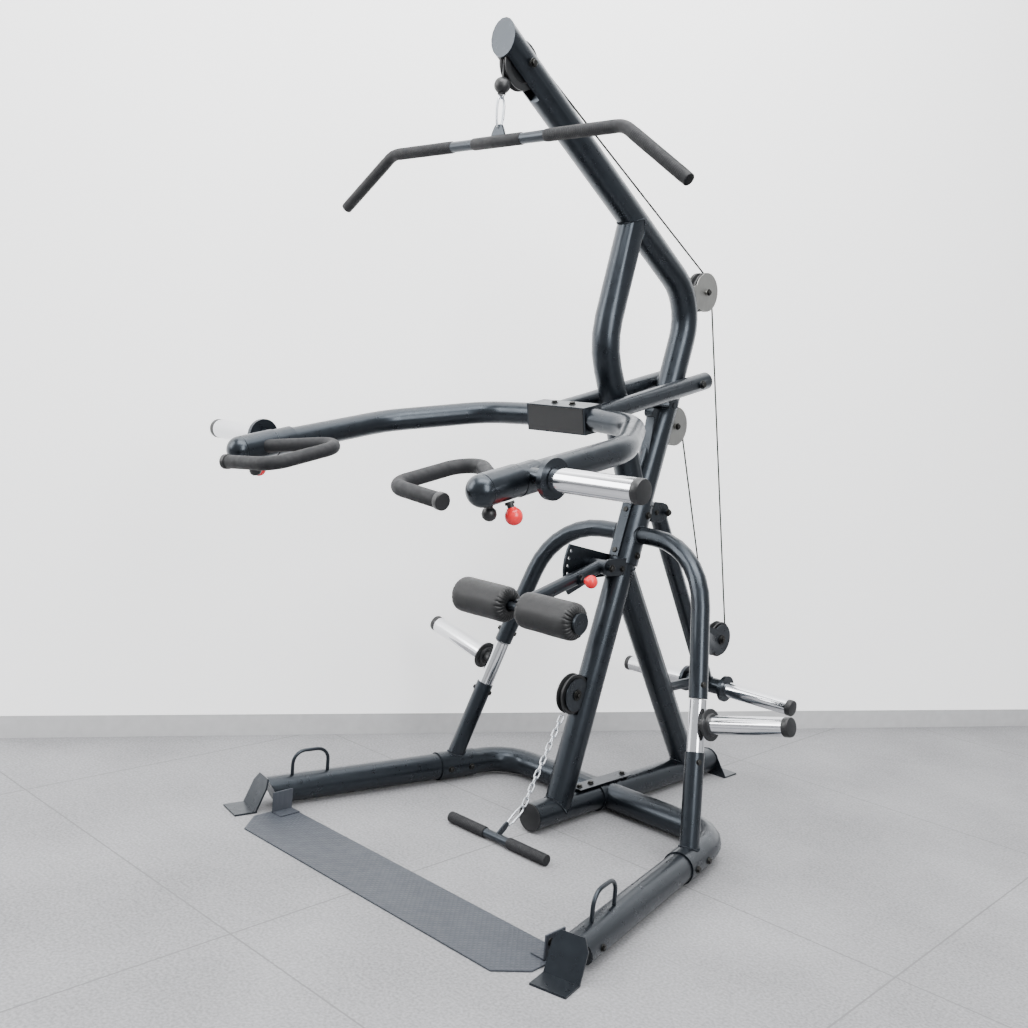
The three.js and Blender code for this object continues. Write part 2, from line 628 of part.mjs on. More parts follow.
// Arm with the cross bar and end discs that hold the two rollers.
function holdArm() {
  const direction = ROLLER_AXIS.clone().sub(HOLD_PIVOT).normalize();
  const arm = rod(HOLD_PIVOT, ROLLER_AXIS, 19, 16);
  const boss = rod(HOLD_PIVOT.clone().setX(-26), HOLD_PIVOT.clone().setX(26), 20, 20);
  const bar = rod(ROLLER_AXIS.clone().setX(-213), ROLLER_AXIS.clone().setX(213), 12, 16);
  const pad = block(HOLD_PIVOT.clone().addScaledVector(direction, SETTING_R).setX(21), 8, 26, 26);
  const disc = rod(ROLLER_AXIS.clone().setX(206.5), ROLLER_AXIS.clone().setX(214), 27, 24);
  const ends = join(disc, mirrored(disc));
  return join(cut(join(arm, boss), axlePin(HOLD_PIVOT, 60, 8.4)), bar, ends, pad);
}

function roller(name, side) {
  const low = 22;
  const high = 206;
  const profile = [[12.6, low], [ROLLER_R - 8, low], [ROLLER_R, low + 10], [ROLLER_R, high - 10],
    [ROLLER_R - 8, high], [12.6, high], [12.6, low]];
  const body = turnedAlongX(profile, vec(0, 0, 0), 24);
  const mesh = part(name, side > 0 ? body : mirrored(body), VINYL);
  mesh.position.copy(ROLLER_AXIS);
  return mesh;
}

// ---- bars ---------------------------------------------------------------------------------

// Wide bar, straight in the middle and bent down at both ends, with a tab for the hook.
function latBar() {
  const middle = BAR_Y;
  const corners = [
    vec(-548, middle, 1621), vec(-370, middle, BAR_Z), vec(370, middle, BAR_Z),
    vec(548, middle, 1621),
  ];
  const bar = bentTube(corners, [60, 60], 14, 16, 0.3);
  const tab = frontPlate([[-24, BAR_Z], [24, BAR_Z], [11, 1786], [-11, 1786]], middle - 3, 6);
  const hole = rod(vec(0, middle - 20, 1776), vec(0, middle + 20, 1776), 6, 16);
  return cut(join(bar, tab), hole);
}

// Stop ball on the cable's end with the snap hook below it.
function latHook() {
  const stop = ball(vec(0, BAR_Y, STOP_Z), 19, 16);
  const neck = rod(vec(0, BAR_Y, STOP_Z - 12), vec(0, BAR_Y, 1845), 4, 10);
  return join(stop, neck, snapLoop(vec(0, BAR_Y, 1812), 36, 10));
}

// Closed oval loop of round wire standing in a plane of constant X.
function snapLoop(centre, halfHeight, halfWidth) {
  const half = (side) => {
    const at = (y, z) => centre.clone().add(vec(0, side * y, z));
    const corners = [at(0, halfHeight), at(halfWidth, halfHeight), at(halfWidth, -halfHeight),
      at(0, -halfHeight)];
    return bentTube(corners, [halfWidth - 1, halfWidth - 1], 3, 8, 0.5);
  };
  return join(half(1), half(-1));
}

const CHAIN_TOP = vec(0, 22, 309);
const CHAIN_END = vec(0, -114, 62);

function chain() {
  return rod(CHAIN_END, CHAIN_TOP, 8, 10);
}

// Short straight bar with two thick grips, lying on the floor under the low pulley.
function lowBar() {
  const middle = vec(0, -199, 15.5);
  const at = (x) => middle.clone().setX(x);
  const grip = (side) => rod(at(side * 42), at(side * 175), 15, 16);
  const tab = sidePlate([[-206, 24], [-196, 12], [-166, 34], [-158, 48], [-170, 52]], -3, 6);
  const hook = rod(vec(0, -168, 42), CHAIN_END.clone().add(vec(0, -2, -3)), 4, 10);
  return join(rod(at(-60), at(60), 12, 16), grip(-1), grip(1), tab, hook);
}

function lowBracket() {
  const outline = [[57, 350], [44, 358], [44, 376], [60, 388], [135, 388], [120, 346]];
  const cheeks = [-PULLEY_HALF - 7, PULLEY_HALF + 4].map((x) => sidePlate(outline, x, 3));
  const tube = rod(columnPoint(200), columnPoint(600), MAIN_R + GAP, 24);
  return cut(join(axlePin(LOW_PULLEY, 24), axleDiscs(LOW_PULLEY, 46), ...cheeks), tube);
}

// ---- cable --------------------------------------------------------------------------------
// One steel cable: from the lat bar over the top and upper pulleys, down around the lever's
// pulley, up over the middle pulley, down inside the boom and column to the low pulley.

const CABLE_DROP = [vec(0, BAR_Y, 1929), vec(0, BAR_Y, STOP_Z + 19)];
const CABLE_TOP = [vec(0, BAR_Y, 1929), vec(0, BAR_Y, 2011.8), vec(0, 526.9, 1543.1),
  vec(0, 532.4, 1522.2)];
const CABLE_REAR_FALL = [vec(0, 532.4, 1522.2), vec(0, 812.4, 459.2)];
const CABLE_LEVER = [vec(0, 812.4, 459.2), vec(0, 828.3, 399), vec(0, 733.4, 399),
  vec(0, 721.4, 429.3)];
const CABLE_FRONT_FALL = [vec(0, 721.4, 429.3), vec(0, 441.6, 1133.7)];
const CABLE_INSIDE = [vec(0, 441.6, 1133.7), vec(0, 429.6, 1164), vec(0, 361.9, 1164),
  vec(0, 92.1, 318), vec(0, 30, 318)];

// A length of cable, a little short at both ends so that it stays clear of the next length.
function trimmed(points) {
  const last = points.length - 1;
  const ends = points.slice();
  ends[0] = points[1].clone().sub(points[0]).setLength(GAP).add(points[0]);
  ends[last] = points[last - 1].clone().sub(points[last]).setLength(GAP).add(points[last]);
  return ends;
}

function straightCable(points) {
  const [start, end] = trimmed(points);
  return rod(start, end, CABLE_R, 10);
}

function wrappedCable(points, radii) {
  return bentTube(trimmed(points), radii, CABLE_R, 10, 0.25);
}

// ---- assembly -----------------------------------------------------------------------------

const arm = new THREE.Group();
arm.position.copy(ARM_PIVOT);
arm.rotation.x = ARM_TILT;
arm.add(
  part("press_yoke", pressYoke(), COATED),
  part("press_arm_right", pressArm(), COATED),
  part("press_arm_left", mirrored(pressArm()), COATED),
  part("press_horn_right", pressHorn(), CHROME),
  part("press_horn_left", mirrored(pressHorn()), CHROME),
  part("handle_right", handle(), COATED),
  part("handle_left", mirrored(handle()), COATED),
  popPin("handle_pin_right", vec(422, -1136, -RING_R - GAP), vec(0.35, 0, -1)),
  popPin("handle_pin_left", vec(-422, -1136, -RING_R - GAP), vec(-0.35, 0, -1)),
);

const gym = new THREE.Group();
gym.add(
  part("centre_beam", centreBeam(), COATED),
  part("rear_foot", rearFoot(), COATED),
  part("base_cross", baseCross(), COATED),
  part("leg_sleeve_right", legSleeve(), COATED),
  part("leg_sleeve_left", mirrored(legSleeve()), COATED),
  part("leg_right", leg(), COATED),
  part("leg_left", mirrored(leg()), COATED),
  part("foot_right", frontFoot(), COATED),
  part("foot_left", mirrored(frontFoot()), COATED),
  part("tread_plate", treadPlate(), TREAD),
  part("column", column(), COATED),
  part("rear_strut", rearStrut(), COATED),
  part("collar", collar(), COATED),
  part("arch_right", sideArch(), COATED),
  part("arch_left", mirrored(sideArch()), COATED),
  part("storage_horn_right", storageHorn(), CHROME),
  part("storage_horn_left", mirrored(storageHorn()), CHROME),
  part("boom", boom(), COATED),
  part("arm_rest", armRest(), COATED),
  part("upper_guard", upperGuard(), PALE_STEEL),
  part("mid_guard", midGuard(), PALE_STEEL),
  part("low_bracket", lowBracket(), COATED),
  part("top_axle", axlePin(TOP_PULLEY, 48), COATED),
  pulley("pulley_top", TOP_PULLEY, TOP_PULLEY_R, TOP_WRAP_R),
  pulley("pulley_upper", UPPER_PULLEY, PULLEY_R, WRAP_R),
  pulley("pulley_mid", MID_PULLEY, PULLEY_R, WRAP_R),
  pulley("pulley_lever", LEVER_PULLEY, PULLEY_R, WRAP_R),
  pulley("pulley_low", LOW_PULLEY, PULLEY_R, WRAP_R),
  arm,
  part("lever_bracket", leverBracket(), COATED),
  part("lat_lever", latLever(), COATED),
  part("lever_horn_right", leverHorn(), CHROME),
  part("lever_horn_left", mirrored(leverHorn()), CHROME),
  part("hold_bracket", holdBracket(), COATED),
  part("hold_arm", holdArm(), COATED),
  roller("roller_right", 1),
  roller("roller_left", -1),
  popPin("hold_pin", vec(25 + GAP, 25.1, 690), vec(1, 0, 0)),
  part("lat_bar", latBar(), RUBBER),
  part("lat_hook", latHook(), ZINC),
  part("low_bar", lowBar(), RUBBER),
  part("low_chain", chain(), ZINC),
  part("cable_drop", straightCable(CABLE_DROP), JACKET),
  part("cable_top", wrappedCable(CABLE_TOP, [TOP_WRAP_R, WRAP_R]), JACKET),
  part("cable_rear_fall", straightCable(CABLE_REAR_FALL), JACKET),
  part("cable_lever", wrappedCable(CABLE_LEVER, [WRAP_R, WRAP_R]), JACKET),
  part("cable_front_fall", straightCable(CABLE_FRONT_FALL), JACKET),
  part("cable_inside", wrappedCable(CABLE_INSIDE, [WRAP_R, WRAP_R, WRAP_R]), JACKET),
);

export default gym;
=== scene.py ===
"""Looks for the plate-loaded leverage gym: coated tube, chromed horns, cable gear, grips and rollers.

Every length is in millimetres until a piece is finished, when it is turned into metres.
"""

import json
import math

import bmesh
import bpy
import numpy as np
from bpy.props import FloatProperty, FloatVectorProperty, IntProperty, PointerProperty
from mathutils import Matrix, Vector


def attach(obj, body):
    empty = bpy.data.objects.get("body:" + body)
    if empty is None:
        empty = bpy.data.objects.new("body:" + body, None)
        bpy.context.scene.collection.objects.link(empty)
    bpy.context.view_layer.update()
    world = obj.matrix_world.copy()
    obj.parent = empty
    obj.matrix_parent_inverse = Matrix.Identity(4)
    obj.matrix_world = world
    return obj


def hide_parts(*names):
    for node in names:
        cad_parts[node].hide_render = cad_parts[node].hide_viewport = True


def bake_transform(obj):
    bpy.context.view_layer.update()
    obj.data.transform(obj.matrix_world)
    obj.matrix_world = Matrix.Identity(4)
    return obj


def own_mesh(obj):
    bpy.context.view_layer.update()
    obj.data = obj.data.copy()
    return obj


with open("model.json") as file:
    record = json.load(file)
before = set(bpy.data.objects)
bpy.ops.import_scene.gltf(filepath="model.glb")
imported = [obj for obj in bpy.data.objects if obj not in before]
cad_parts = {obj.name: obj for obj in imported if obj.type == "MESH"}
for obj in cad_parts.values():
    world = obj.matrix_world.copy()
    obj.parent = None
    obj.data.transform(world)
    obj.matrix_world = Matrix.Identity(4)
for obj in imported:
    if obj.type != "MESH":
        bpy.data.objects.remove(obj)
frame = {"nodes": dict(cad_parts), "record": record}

bl_info = {
    "name": "Leverage gym looks",
    "version": (1, 0, 0),
    "blender": (4, 5, 0),
    "location": "View3D > Sidebar > Gym",
    "description": "Builds the finish of a plate-loaded gym around its CAD solids",
    "category": "Object",
}

MM = 0.001
SHARP = math.radians(40)         # edges sharper than this stay crisp


def srgb(code):
    """A hex colour as the linear values that Blender's sockets take."""
    values = [int(code[i:i + 2], 16) / 255 for i in (0, 2, 4)]
    return tuple(v / 12.92 if v <= 0.04045 else ((v + 0.055) / 1.055) ** 2.4 for v in values)


# ---- where things are ----------------------------------------------------------------------

TOP_PULLEY = Vector((0, -352, 1929))
UPPER_PULLEY = Vector((0, 486, 1510))
MID_PULLEY = Vector((0, 397, 1116))
LEVER_PULLEY = Vector((0, 766, 447))
LOW_PULLEY = Vector((0, 57, 366))
LEVER_PIVOT = Vector((0, 368, 868))
LEVER_FOOT = Vector((0, 729, 305))
HOLD_PIVOT = Vector((0, 127, 718))
ROLLER_AXIS = Vector((0, -198, 629))
BAR_Y = -403
BAR_Z = 1745
STOP_Z = 1871                    # the ball that stops the cable under the top pulley
LEG_ROOT = Vector((427, 50, 42))
LEG_DIRECTION = Vector((126, -609, 0)).normalized()
LEG_SIDE = Vector((609, 126, 0)).normalized()
POST_FOOT = Vector((427, 50, 69))
POST_RISE = Vector((-0.21, 0.247, 1))
ARM_PIVOT = Vector((0, 389, 1240))
ARM_TILT = 0.2183
ARM_HALF = 410
ARM_FRAME = Matrix.Translation(ARM_PIVOT) @ Matrix.Rotation(ARM_TILT, 4, "X")
CHAIN_TOP = Vector((0, 22, 309))
CHAIN_END = Vector((0, -114, 62))
WASHER_OUT = 19                  # from the symmetry plane to a pulley axle's washer
GUARD_BOLT_OUT = 23.6            # the same, to the bolts on the pulley guards
SLEEVE_BOLT_OUT = 41.2           # from a leg's axis to the bolts on its sleeve
PIVOT_BOLT_OUT = 41.6            # from the symmetry plane to the pivots' bolts
COLLAR_LOW, COLLAR_HIGH = 748, 862
COLUMN_LEAN = 0.287              # how far the column leans back for each unit of height
BAR_BEND = 370                   # half the lat bar's straight length
BAR_END = 548
BAR_TIP_Z = 1621


def column_point(z):
    return Vector((0, 35 + COLUMN_LEAN * (z - 50), z))


def post_point(z):
    return POST_FOOT + POST_RISE * (z - POST_FOOT.z)


def both_sides(point):
    """The point and its mirror image across the plane of symmetry."""
    return [Vector(point), Vector((-point[0], point[1], point[2]))]


# ---- shapes --------------------------------------------------------------------------------


def bent(corners, radii, step=0.12):
    """Centre line through corners, each rounded to its own radius."""
    corners = [Vector(c) for c in corners]
    line = [corners[0]]
    for before, corner, after, radius in zip(corners, corners[1:], corners[2:], radii):
        inward = (corner - before).normalized()
        outward = (after - corner).normalized()
        turn = inward.angle(outward)
        centre = corner + (outward - inward).normalized() * (radius / math.cos(turn / 2))
        first = corner - inward * (radius * math.tan(turn / 2)) - centre
        axis = inward.cross(outward).normalized()
        steps = max(3, math.ceil(turn / step))
        line += [centre + Matrix.Rotation(turn * i / steps, 3, axis) @ first
                 for i in range(steps + 1)]
    return line + [corners[-1]]


def in_scene(name, data):
    """A new object at the origin, linked to the scene."""
    made = bpy.data.objects.new(name, data)
    bpy.context.collection.objects.link(made)
    return made


class Shape:
    """Collects closed pieces, in millimetres, into one mesh with one or more looks."""

    def __init__(self):
        self.bm = bmesh.new()
        self.look = 0

    def _rings(self, rings):
        """Skins a run of rings; a ring of one point closes the surface there."""
        made = [[self.bm.verts.new(p) for p in ring] for ring in rings]
        faces = []
        for a, b in zip(made, made[1:]):
            n = max(len(a), len(b))
            for i in range(n):
                j = (i + 1) % n
                if len(a) == 1:
                    corners = (a[0], b[j], b[i])
                elif len(b) == 1:
                    corners = (a[i], a[j], b[0])
                else:
                    corners = (a[i], a[j], b[j], b[i])
                faces.append(self.bm.faces.new(corners))
        for ring in (made[0], made[-1]):
            if len(ring) > 1:
                faces.append(self.bm.faces.new(ring))
        self._close(faces)

    def _close(self, faces):
        bmesh.ops.recalc_face_normals(self.bm, faces=faces)
        for face in faces:
            face.material_index = self.look
            face.smooth = True

    def tube(self, line, radius, segments=32, ends=0.0):
        """A round bar along a line of points, with its end edges rounded by ends."""
        line = [Vector(p) for p in line]
        tangents = []
        for i in range(len(line)):
            a, b = line[max(i - 1, 0)], line[min(i + 1, len(line) - 1)]
            tangents.append((b - a).normalized())
        side = tangents[0].orthogonal().normalized()
        stations = []
        for i, tangent in enumerate(tangents):
            if i:
                side = tangents[i - 1].rotation_difference(tangent) @ side
            stations.append((line[i], tangent, side.copy(), radius))
        if ends:
            first, last = stations[0], stations[-1]
            start = [(first[0] + first[1] * ends * (1 - math.sin(a)), *first[1:3],
                      radius - ends * (1 - math.cos(a))) for a in (1.571, 0.785)]
            stop = [(last[0] - last[1] * ends * (1 - math.sin(a)), *last[1:3],
                     radius - ends * (1 - math.cos(a))) for a in (0.785, 1.571)]
            first = (first[0] + first[1] * ends, *first[1:])
            last = (last[0] - last[1] * ends, *last[1:])
            stations = start + [first] + stations[1:-1] + [last] + stop
        rings = []
        for point, tangent, across, r in stations:
            up = tangent.cross(across)
            rings.append([point + across * (r * math.cos(a)) + up * (r * math.sin(a))
                          for a in np.linspace(0, 2 * math.pi, segments, endpoint=False)])
        self._rings(rings)

    def turned(self, profile, origin, axis, segments=48):
        """A solid of revolution from (radius, distance along the axis) points."""
        origin, axis = Vector(origin), Vector(axis).normalized()
        side = axis.orthogonal().normalized()
        up = axis.cross(side)
        rings = []
        for radius, along in profile:
            middle = origin + axis * along
            if radius == 0:
                rings.append([middle])
                continue
            rings.append([middle + side * (radius * math.cos(a)) + up * (radius * math.sin(a))
                          for a in np.linspace(0, 2 * math.pi, segments, endpoint=False)])
        if profile[0] == profile[-1]:
            rings = rings[:-1]
            self.loop(rings)
        else:
            self._rings(rings)

    def loop(self, rings):
        """Skins rings that close on themselves, as a wheel with a bore does."""
        made = [[self.bm.verts.new(p) for p in ring] for ring in rings]
        faces = []
        for a, b in zip(made, made[1:] + made[:1]):
            n = len(a)
            faces += [self.bm.faces.new((a[i], a[(i + 1) % n], b[(i + 1) % n], b[i]))
                      for i in range(n)]
        self._close(faces)

    def ball(self, centre, radius, segments=32):
        profile = [(radius * math.sin(a), -radius * math.cos(a))
                   for a in np.linspace(0, math.pi, segments // 2)]
        profile[0] = (0, -radius)
        profile[-1] = (0, radius)
        self.turned(profile, centre, (0, 0, 1), segments)

    def ring(self, line, radius, segments=12):
        """A round wire along a line that closes on itself."""
        line = [Vector(p) for p in line]
        normal = (line[1] - line[0]).cross(line[len(line) // 3] - line[0]).normalized()
        rings = []
        for i, point in enumerate(line):
            tangent = (line[(i + 1) % len(line)] - line[i - 1]).normalized()
            across = tangent.cross(normal)
            rings.append([point + across * (radius * math.cos(a)) + normal * (radius * math.sin(a))
                          for a in np.linspace(0, 2 * math.pi, segments, endpoint=False)])
        self.loop(rings)

    def slab(self, outline, place, thickness, edge=0.8):
        """A flat plate: outline in the place matrix's XY plane, thick along its Z, edges eased."""
        bm = bmesh.new()
        low = [bm.verts.new(place @ Vector((x, y, 0))) for x, y in outline]
        high = [bm.verts.new(place @ Vector((x, y, thickness))) for x, y in outline]
        bm.faces.new(low[::-1])
        bm.faces.new(high)
        n = len(outline)
        for i in range(n):
            bm.faces.new((low[i], low[(i + 1) % n], high[(i + 1) % n], high[i]))
        bmesh.ops.recalc_face_normals(bm, faces=bm.faces[:])
        sharp = [e for e in bm.edges if e.calc_face_angle(0) > SHARP]
        bmesh.ops.bevel(bm, geom=sharp, offset=edge, segments=2, affect="EDGES",
                        clamp_overlap=True)
        self._take(bm)

    def _take(self, bm):
        for face in bm.faces:
            face.material_index = self.look
            face.smooth = True
        mesh = bpy.data.meshes.new("scratch")
        bm.to_mesh(mesh)
        bm.free()
        self.bm.from_mesh(mesh)
        bpy.data.meshes.remove(mesh)

    def mirrored(self):
        """Turns the whole shape into its mirror image across X = 0."""
        bmesh.ops.scale(self.bm, vec=(-1, 1, 1), verts=self.bm.verts[:])
        bmesh.ops.reverse_faces(self.bm, faces=self.bm.faces[:])
        return self

    def placed(self, matrix):
        bmesh.ops.transform(self.bm, matrix=matrix, verts=self.bm.verts[:])
        return self

    def object(self, name, *looks):
        """The shape as an object at the origin, in metres, with crisp edges marked."""
        bmesh.ops.scale(self.bm, vec=(MM, MM, MM), verts=self.bm.verts[:])
        for edge in self.bm.edges:
            edge.smooth = edge.calc_face_angle(0) < SHARP
        mesh = bpy.data.meshes.new(name)
        self.bm.to_mesh(mesh)
        self.bm.free()
        for look in looks:
            mesh.materials.append(look)
        return in_scene(name, mesh)


def hand_over(obj, body, slot, *nodes):
    """Hangs a finished piece under its CAD body and hides the nodes it stands for; slot is not used."""
    if nodes:
        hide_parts(*nodes)
    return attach(obj, body)


def skin(node, look, edge=0.8):
    """A CAD node's own surface with eased edges and smooth rounds, as a new object."""
    source = frame["nodes"][node]
    bm = bmesh.new()
    bm.from_mesh(source.data)
    bm.transform(source.matrix_world)
    bmesh.ops.remove_doubles(bm, verts=bm.verts, dist=2e-5)
    bmesh.ops.dissolve_limit(bm, angle_limit=0.01, verts=bm.verts[:], edges=bm.edges[:])
    if edge:
        sharp = [e for e in bm.edges if e.is_manifold and e.calc_face_angle(0) > SHARP
                 and e.calc_length() > 2 * edge * MM]
        bmesh.ops.bevel(bm, geom=sharp, offset=edge * MM, segments=2, affect="EDGES",
                        clamp_overlap=True, loop_slide=True)
    bmesh.ops.recalc_face_normals(bm, faces=bm.faces[:])
    for face in bm.faces:
        face.smooth = True
    for line in bm.edges:
        line.smooth = line.calc_face_angle(0) < SHARP
    mesh = bpy.data.meshes.new(node + "_skin")
    bm.to_mesh(mesh)
    bm.free()
    mesh.materials.append(look)
    return in_scene(node + "_skin", mesh)


# ---- repeated pieces -----------------------------------------------------------------------


def repeater():
    """Node group that puts a copy of an object on every point, turned and sized by attributes."""
    group = bpy.data.node_groups.new("Repeat on points", "GeometryNodeTree")
    group.interface.new_socket("Points", in_out="INPUT", socket_type="NodeSocketGeometry")
    group.interface.new_socket("Piece", in_out="INPUT", socket_type="NodeSocketObject")
    group.interface.new_socket("Look", in_out="INPUT", socket_type="NodeSocketMaterial")
    group.interface.new_socket("Result", in_out="OUTPUT", socket_type="NodeSocketGeometry")
    nodes, links = group.nodes, group.links
    inputs = nodes.new("NodeGroupInput")
    piece = nodes.new("GeometryNodeObjectInfo")
    turn = nodes.new("GeometryNodeInputNamedAttribute")
    turn.data_type = "FLOAT_VECTOR"
    turn.inputs["Name"].default_value = "turn"
    rotation = nodes.new("FunctionNodeEulerToRotation")
    size = nodes.new("GeometryNodeInputNamedAttribute")
    size.data_type = "FLOAT"
    size.inputs["Name"].default_value = "size"
    place = nodes.new("GeometryNodeInstanceOnPoints")
    real = nodes.new("GeometryNodeRealizeInstances")
    paint = nodes.new("GeometryNodeSetMaterial")
    result = nodes.new("NodeGroupOutput")
    links.new(inputs.outputs["Points"], place.inputs["Points"])
    links.new(inputs.outputs["Piece"], piece.inputs["Object"])
    links.new(piece.outputs["Geometry"], place.inputs["Instance"])
    links.new(turn.outputs["Attribute"], rotation.inputs["Euler"])
    links.new(rotation.outputs["Rotation"], place.inputs["Rotation"])
    links.new(size.outputs["Attribute"], place.inputs["Scale"])
    links.new(place.outputs["Instances"], real.inputs["Geometry"])
    links.new(real.outputs["Geometry"], paint.inputs["Geometry"])
    links.new(inputs.outputs["Look"], paint.inputs["Material"])
    links.new(paint.outputs["Geometry"], result.inputs["Result"])
    return group


def facing(direction, roll=0.0):
    """Euler angles that turn a piece's +Z to the direction, after a roll about it."""
    turn = Vector((0, 0, 1)).rotation_difference(Vector(direction).normalized())
    return (turn.to_matrix() @ Matrix.Rotation(roll, 3, "Z")).to_euler()


def repeat(name, piece, places, look):
    """One object with a copy of piece at each (point in mm, euler, size), made by the node group."""
    mesh = bpy.data.meshes.new(name)
    mesh.from_pydata([tuple(Vector(p) * MM) for p, _, _ in places], [], [])
    turns = mesh.attributes.new("turn", "FLOAT_VECTOR", "POINT")
    turns.data.foreach_set("vector", [v for _, euler, _ in places for v in euler])
    sizes = mesh.attributes.new("size", "FLOAT", "POINT")
    sizes.data.foreach_set("value", [s for _, _, s in places])
    carrier = in_scene(name + "_points", mesh)
    modifier = carrier.modifiers.new("Repeat", "NODES")
    group = bpy.data.node_groups.get("Repeat on points") or repeater()
    modifier.node_group = group
    sockets = {s.name: s.identifier for s in group.interface.items_tree if s.in_out == "INPUT"}
    modifier[sockets["Piece"]] = piece
    modifier[sockets["Look"]] = look
    bpy.context.view_layer.update()
    evaluated = carrier.evaluated_get(bpy.context.evaluated_depsgraph_get())
    made = in_scene(name, bpy.data.meshes.new_from_object(evaluated))
    bpy.data.objects.remove(carrier)
    bpy.data.objects.remove(piece)
    return made


def bolt_head():
    """Hex head on a washer, standing on Z = 0."""
    shape = Shape()
    shape.turned([(0, 0), (9.6, 0), (9.9, 0.5), (9.5, 1.6), (0, 1.6)], (0, 0, 0), (0, 0, 1), 24)
    shape.turned([(0, 1.5), (7.4, 1.5), (7.6, 2.0), (7.6, 5.6), (6.3, 6.6), (0, 6.6)],
                 (0, 0, 0), (0, 0, 1), 6)
    return shape.object("bolt_head")


def weld_drop():
    """One ripple of a weld bead."""
    shape = Shape()
    shape.turned([(0, -1.6), (2.4, -1.0), (3.0, 0), (2.4, 1.0), (0, 1.6)], (0, 0, 0), (0, 0, 1), 8)
    return shape.object("weld_drop")


def seam(root, direction, radius, centre, axis, other):
    """Points and eulers round the line where a bar of one radius runs into another bar."""
    root, direction = Vector(root), Vector(direction).normalized()
    centre, axis = Vector(centre), Vector(axis).normalized()
    side = direction.orthogonal().normalized()
    up = direction.cross(side)
    count = int(2 * math.pi * radius / 3.4)
    places = []
    for a in np.linspace(0, 2 * math.pi, count, endpoint=False):
        start = root + side * (radius * math.cos(a)) + up * (radius * math.sin(a)) - centre
        flat = start - axis * start.dot(axis)
        along = direction - axis * direction.dot(axis)
        qa, qb, qc = along.dot(along), 2 * flat.dot(along), flat.dot(flat) - other * other
        root_term = qb * qb - 4 * qa * qc
        if root_term <= 0:
            continue
        t = (-qb - math.sqrt(root_term)) / (2 * qa)
        point = start + direction * t + centre
        travel = side * -math.sin(a) + up * math.cos(a)
        places.append((point, facing(travel), 1.0))
    return places


# ---- finishes ------------------------------------------------------------------------------


class Look:
    """A Principled material under construction, patterned in object coordinates."""

    def __init__(self, name, **values):
        self.material = bpy.data.materials.new(name)
        self.material.use_nodes = True
        self.nodes = self.material.node_tree.nodes
        self.links = self.material.node_tree.links
        self.shader = self.nodes["Principled BSDF"]
        for socket, value in values.items():
            self.shader.inputs[socket.replace("_", " ")].default_value = value
        self.place = self.nodes.new("ShaderNodeTexCoord").outputs["Object"]

    def node(self, kind, **values):
        """A shader node whose named sockets are linked to an output or set to a value."""
        made = self.nodes.new("ShaderNode" + kind)
        for socket, value in values.items():
            socket = made.inputs[socket.replace("_", " ")]
            if isinstance(value, bpy.types.NodeSocket):
                self.links.new(value, socket)
            else:
                socket.default_value = value
        return made

    def maths(self, operation, *values):
        made = self.nodes.new("ShaderNodeMath")
        made.operation = operation
        for socket, value in zip(made.inputs, values):
            if isinstance(value, bpy.types.NodeSocket):
                self.links.new(value, socket)
            else:
                socket.default_value = value
        return made.outputs[0]

    def noise(self, scale, detail=3.0, stretch=(1, 1, 1)):
        place = self.node("Mapping", Vector=self.place, Scale=stretch).outputs["Vector"]
        return self.node("TexNoise", Vector=place, Scale=scale, Detail=detail).outputs["Fac"]

    def spread(self, value, low, high, start=0.3, end=0.7):
        return self.node("MapRange", Value=value, From_Min=start, From_Max=end, To_Min=low,
                         To_Max=high).outputs["Result"]

    def colours(self, value, first, second):
        mix = self.nodes.new("ShaderNodeMix")
        mix.data_type = "RGBA"
        self.links.new(value, mix.inputs[0])
        mix.inputs[6].default_value = (*first, 1)
        mix.inputs[7].default_value = (*second, 1)
        self.links.new(mix.outputs[2], self.shader.inputs["Base Color"])

    def roughness(self, value):
        self.links.new(value, self.shader.inputs["Roughness"])

    def bump(self, height, strength, distance):
        bump = self.node("Bump", Height=height, Strength=strength, Distance=distance)
        self.links.new(bump.outputs["Normal"], self.shader.inputs["Normal"])


def shade(colour, factor):
    return tuple(min(1.0, c * factor) for c in colour)


def coat_look(settings):
    # Satin black powder coat: faint orange peel and a soft blue sheen.
    look = Look("Satin black powder coat", Metallic=0.0, Coat_Weight=0.18, Coat_Roughness=0.2,
                Specular_IOR_Level=0.5, Specular_Tint=(0.74, 0.86, 1.0, 1.0),
                Coat_Tint=(0.86, 0.93, 1.0, 1.0))
    look.colours(look.noise(14, 4), shade(settings.coat, 0.82), shade(settings.coat, 1.2))
    look.roughness(look.spread(look.noise(45, 2), 0.26, 0.36))
    look.bump(look.noise(700, 2), 0.16, 0.0004)
    return look.material


def chrome_look(settings):
    # Polished chrome plate with fine handling marks.
    look = Look("Polished chrome plate", Metallic=1.0)
    look.colours(look.noise(20, 3), shade(settings.chrome, 0.94), shade(settings.chrome, 1.04))
    look.roughness(look.spread(look.noise(120, 6, (1, 0.15, 1)), 0.06, 0.15))
    look.bump(look.noise(60, 2), 0.03, 0.0004)
    return look.material


def plastic_look(name, colour, rough, grain):
    # Moulded plastic: even colour, slight flow marks, fine mould texture.
    look = Look(name, Metallic=0.0)
    look.colours(look.noise(30, 3), shade(colour, 0.88), shade(colour, 1.12))
    look.roughness(look.spread(look.noise(70, 3), rough - 0.05, rough + 0.05))
    look.bump(look.noise(grain, 2), 0.1, 0.0003)
    return look.material


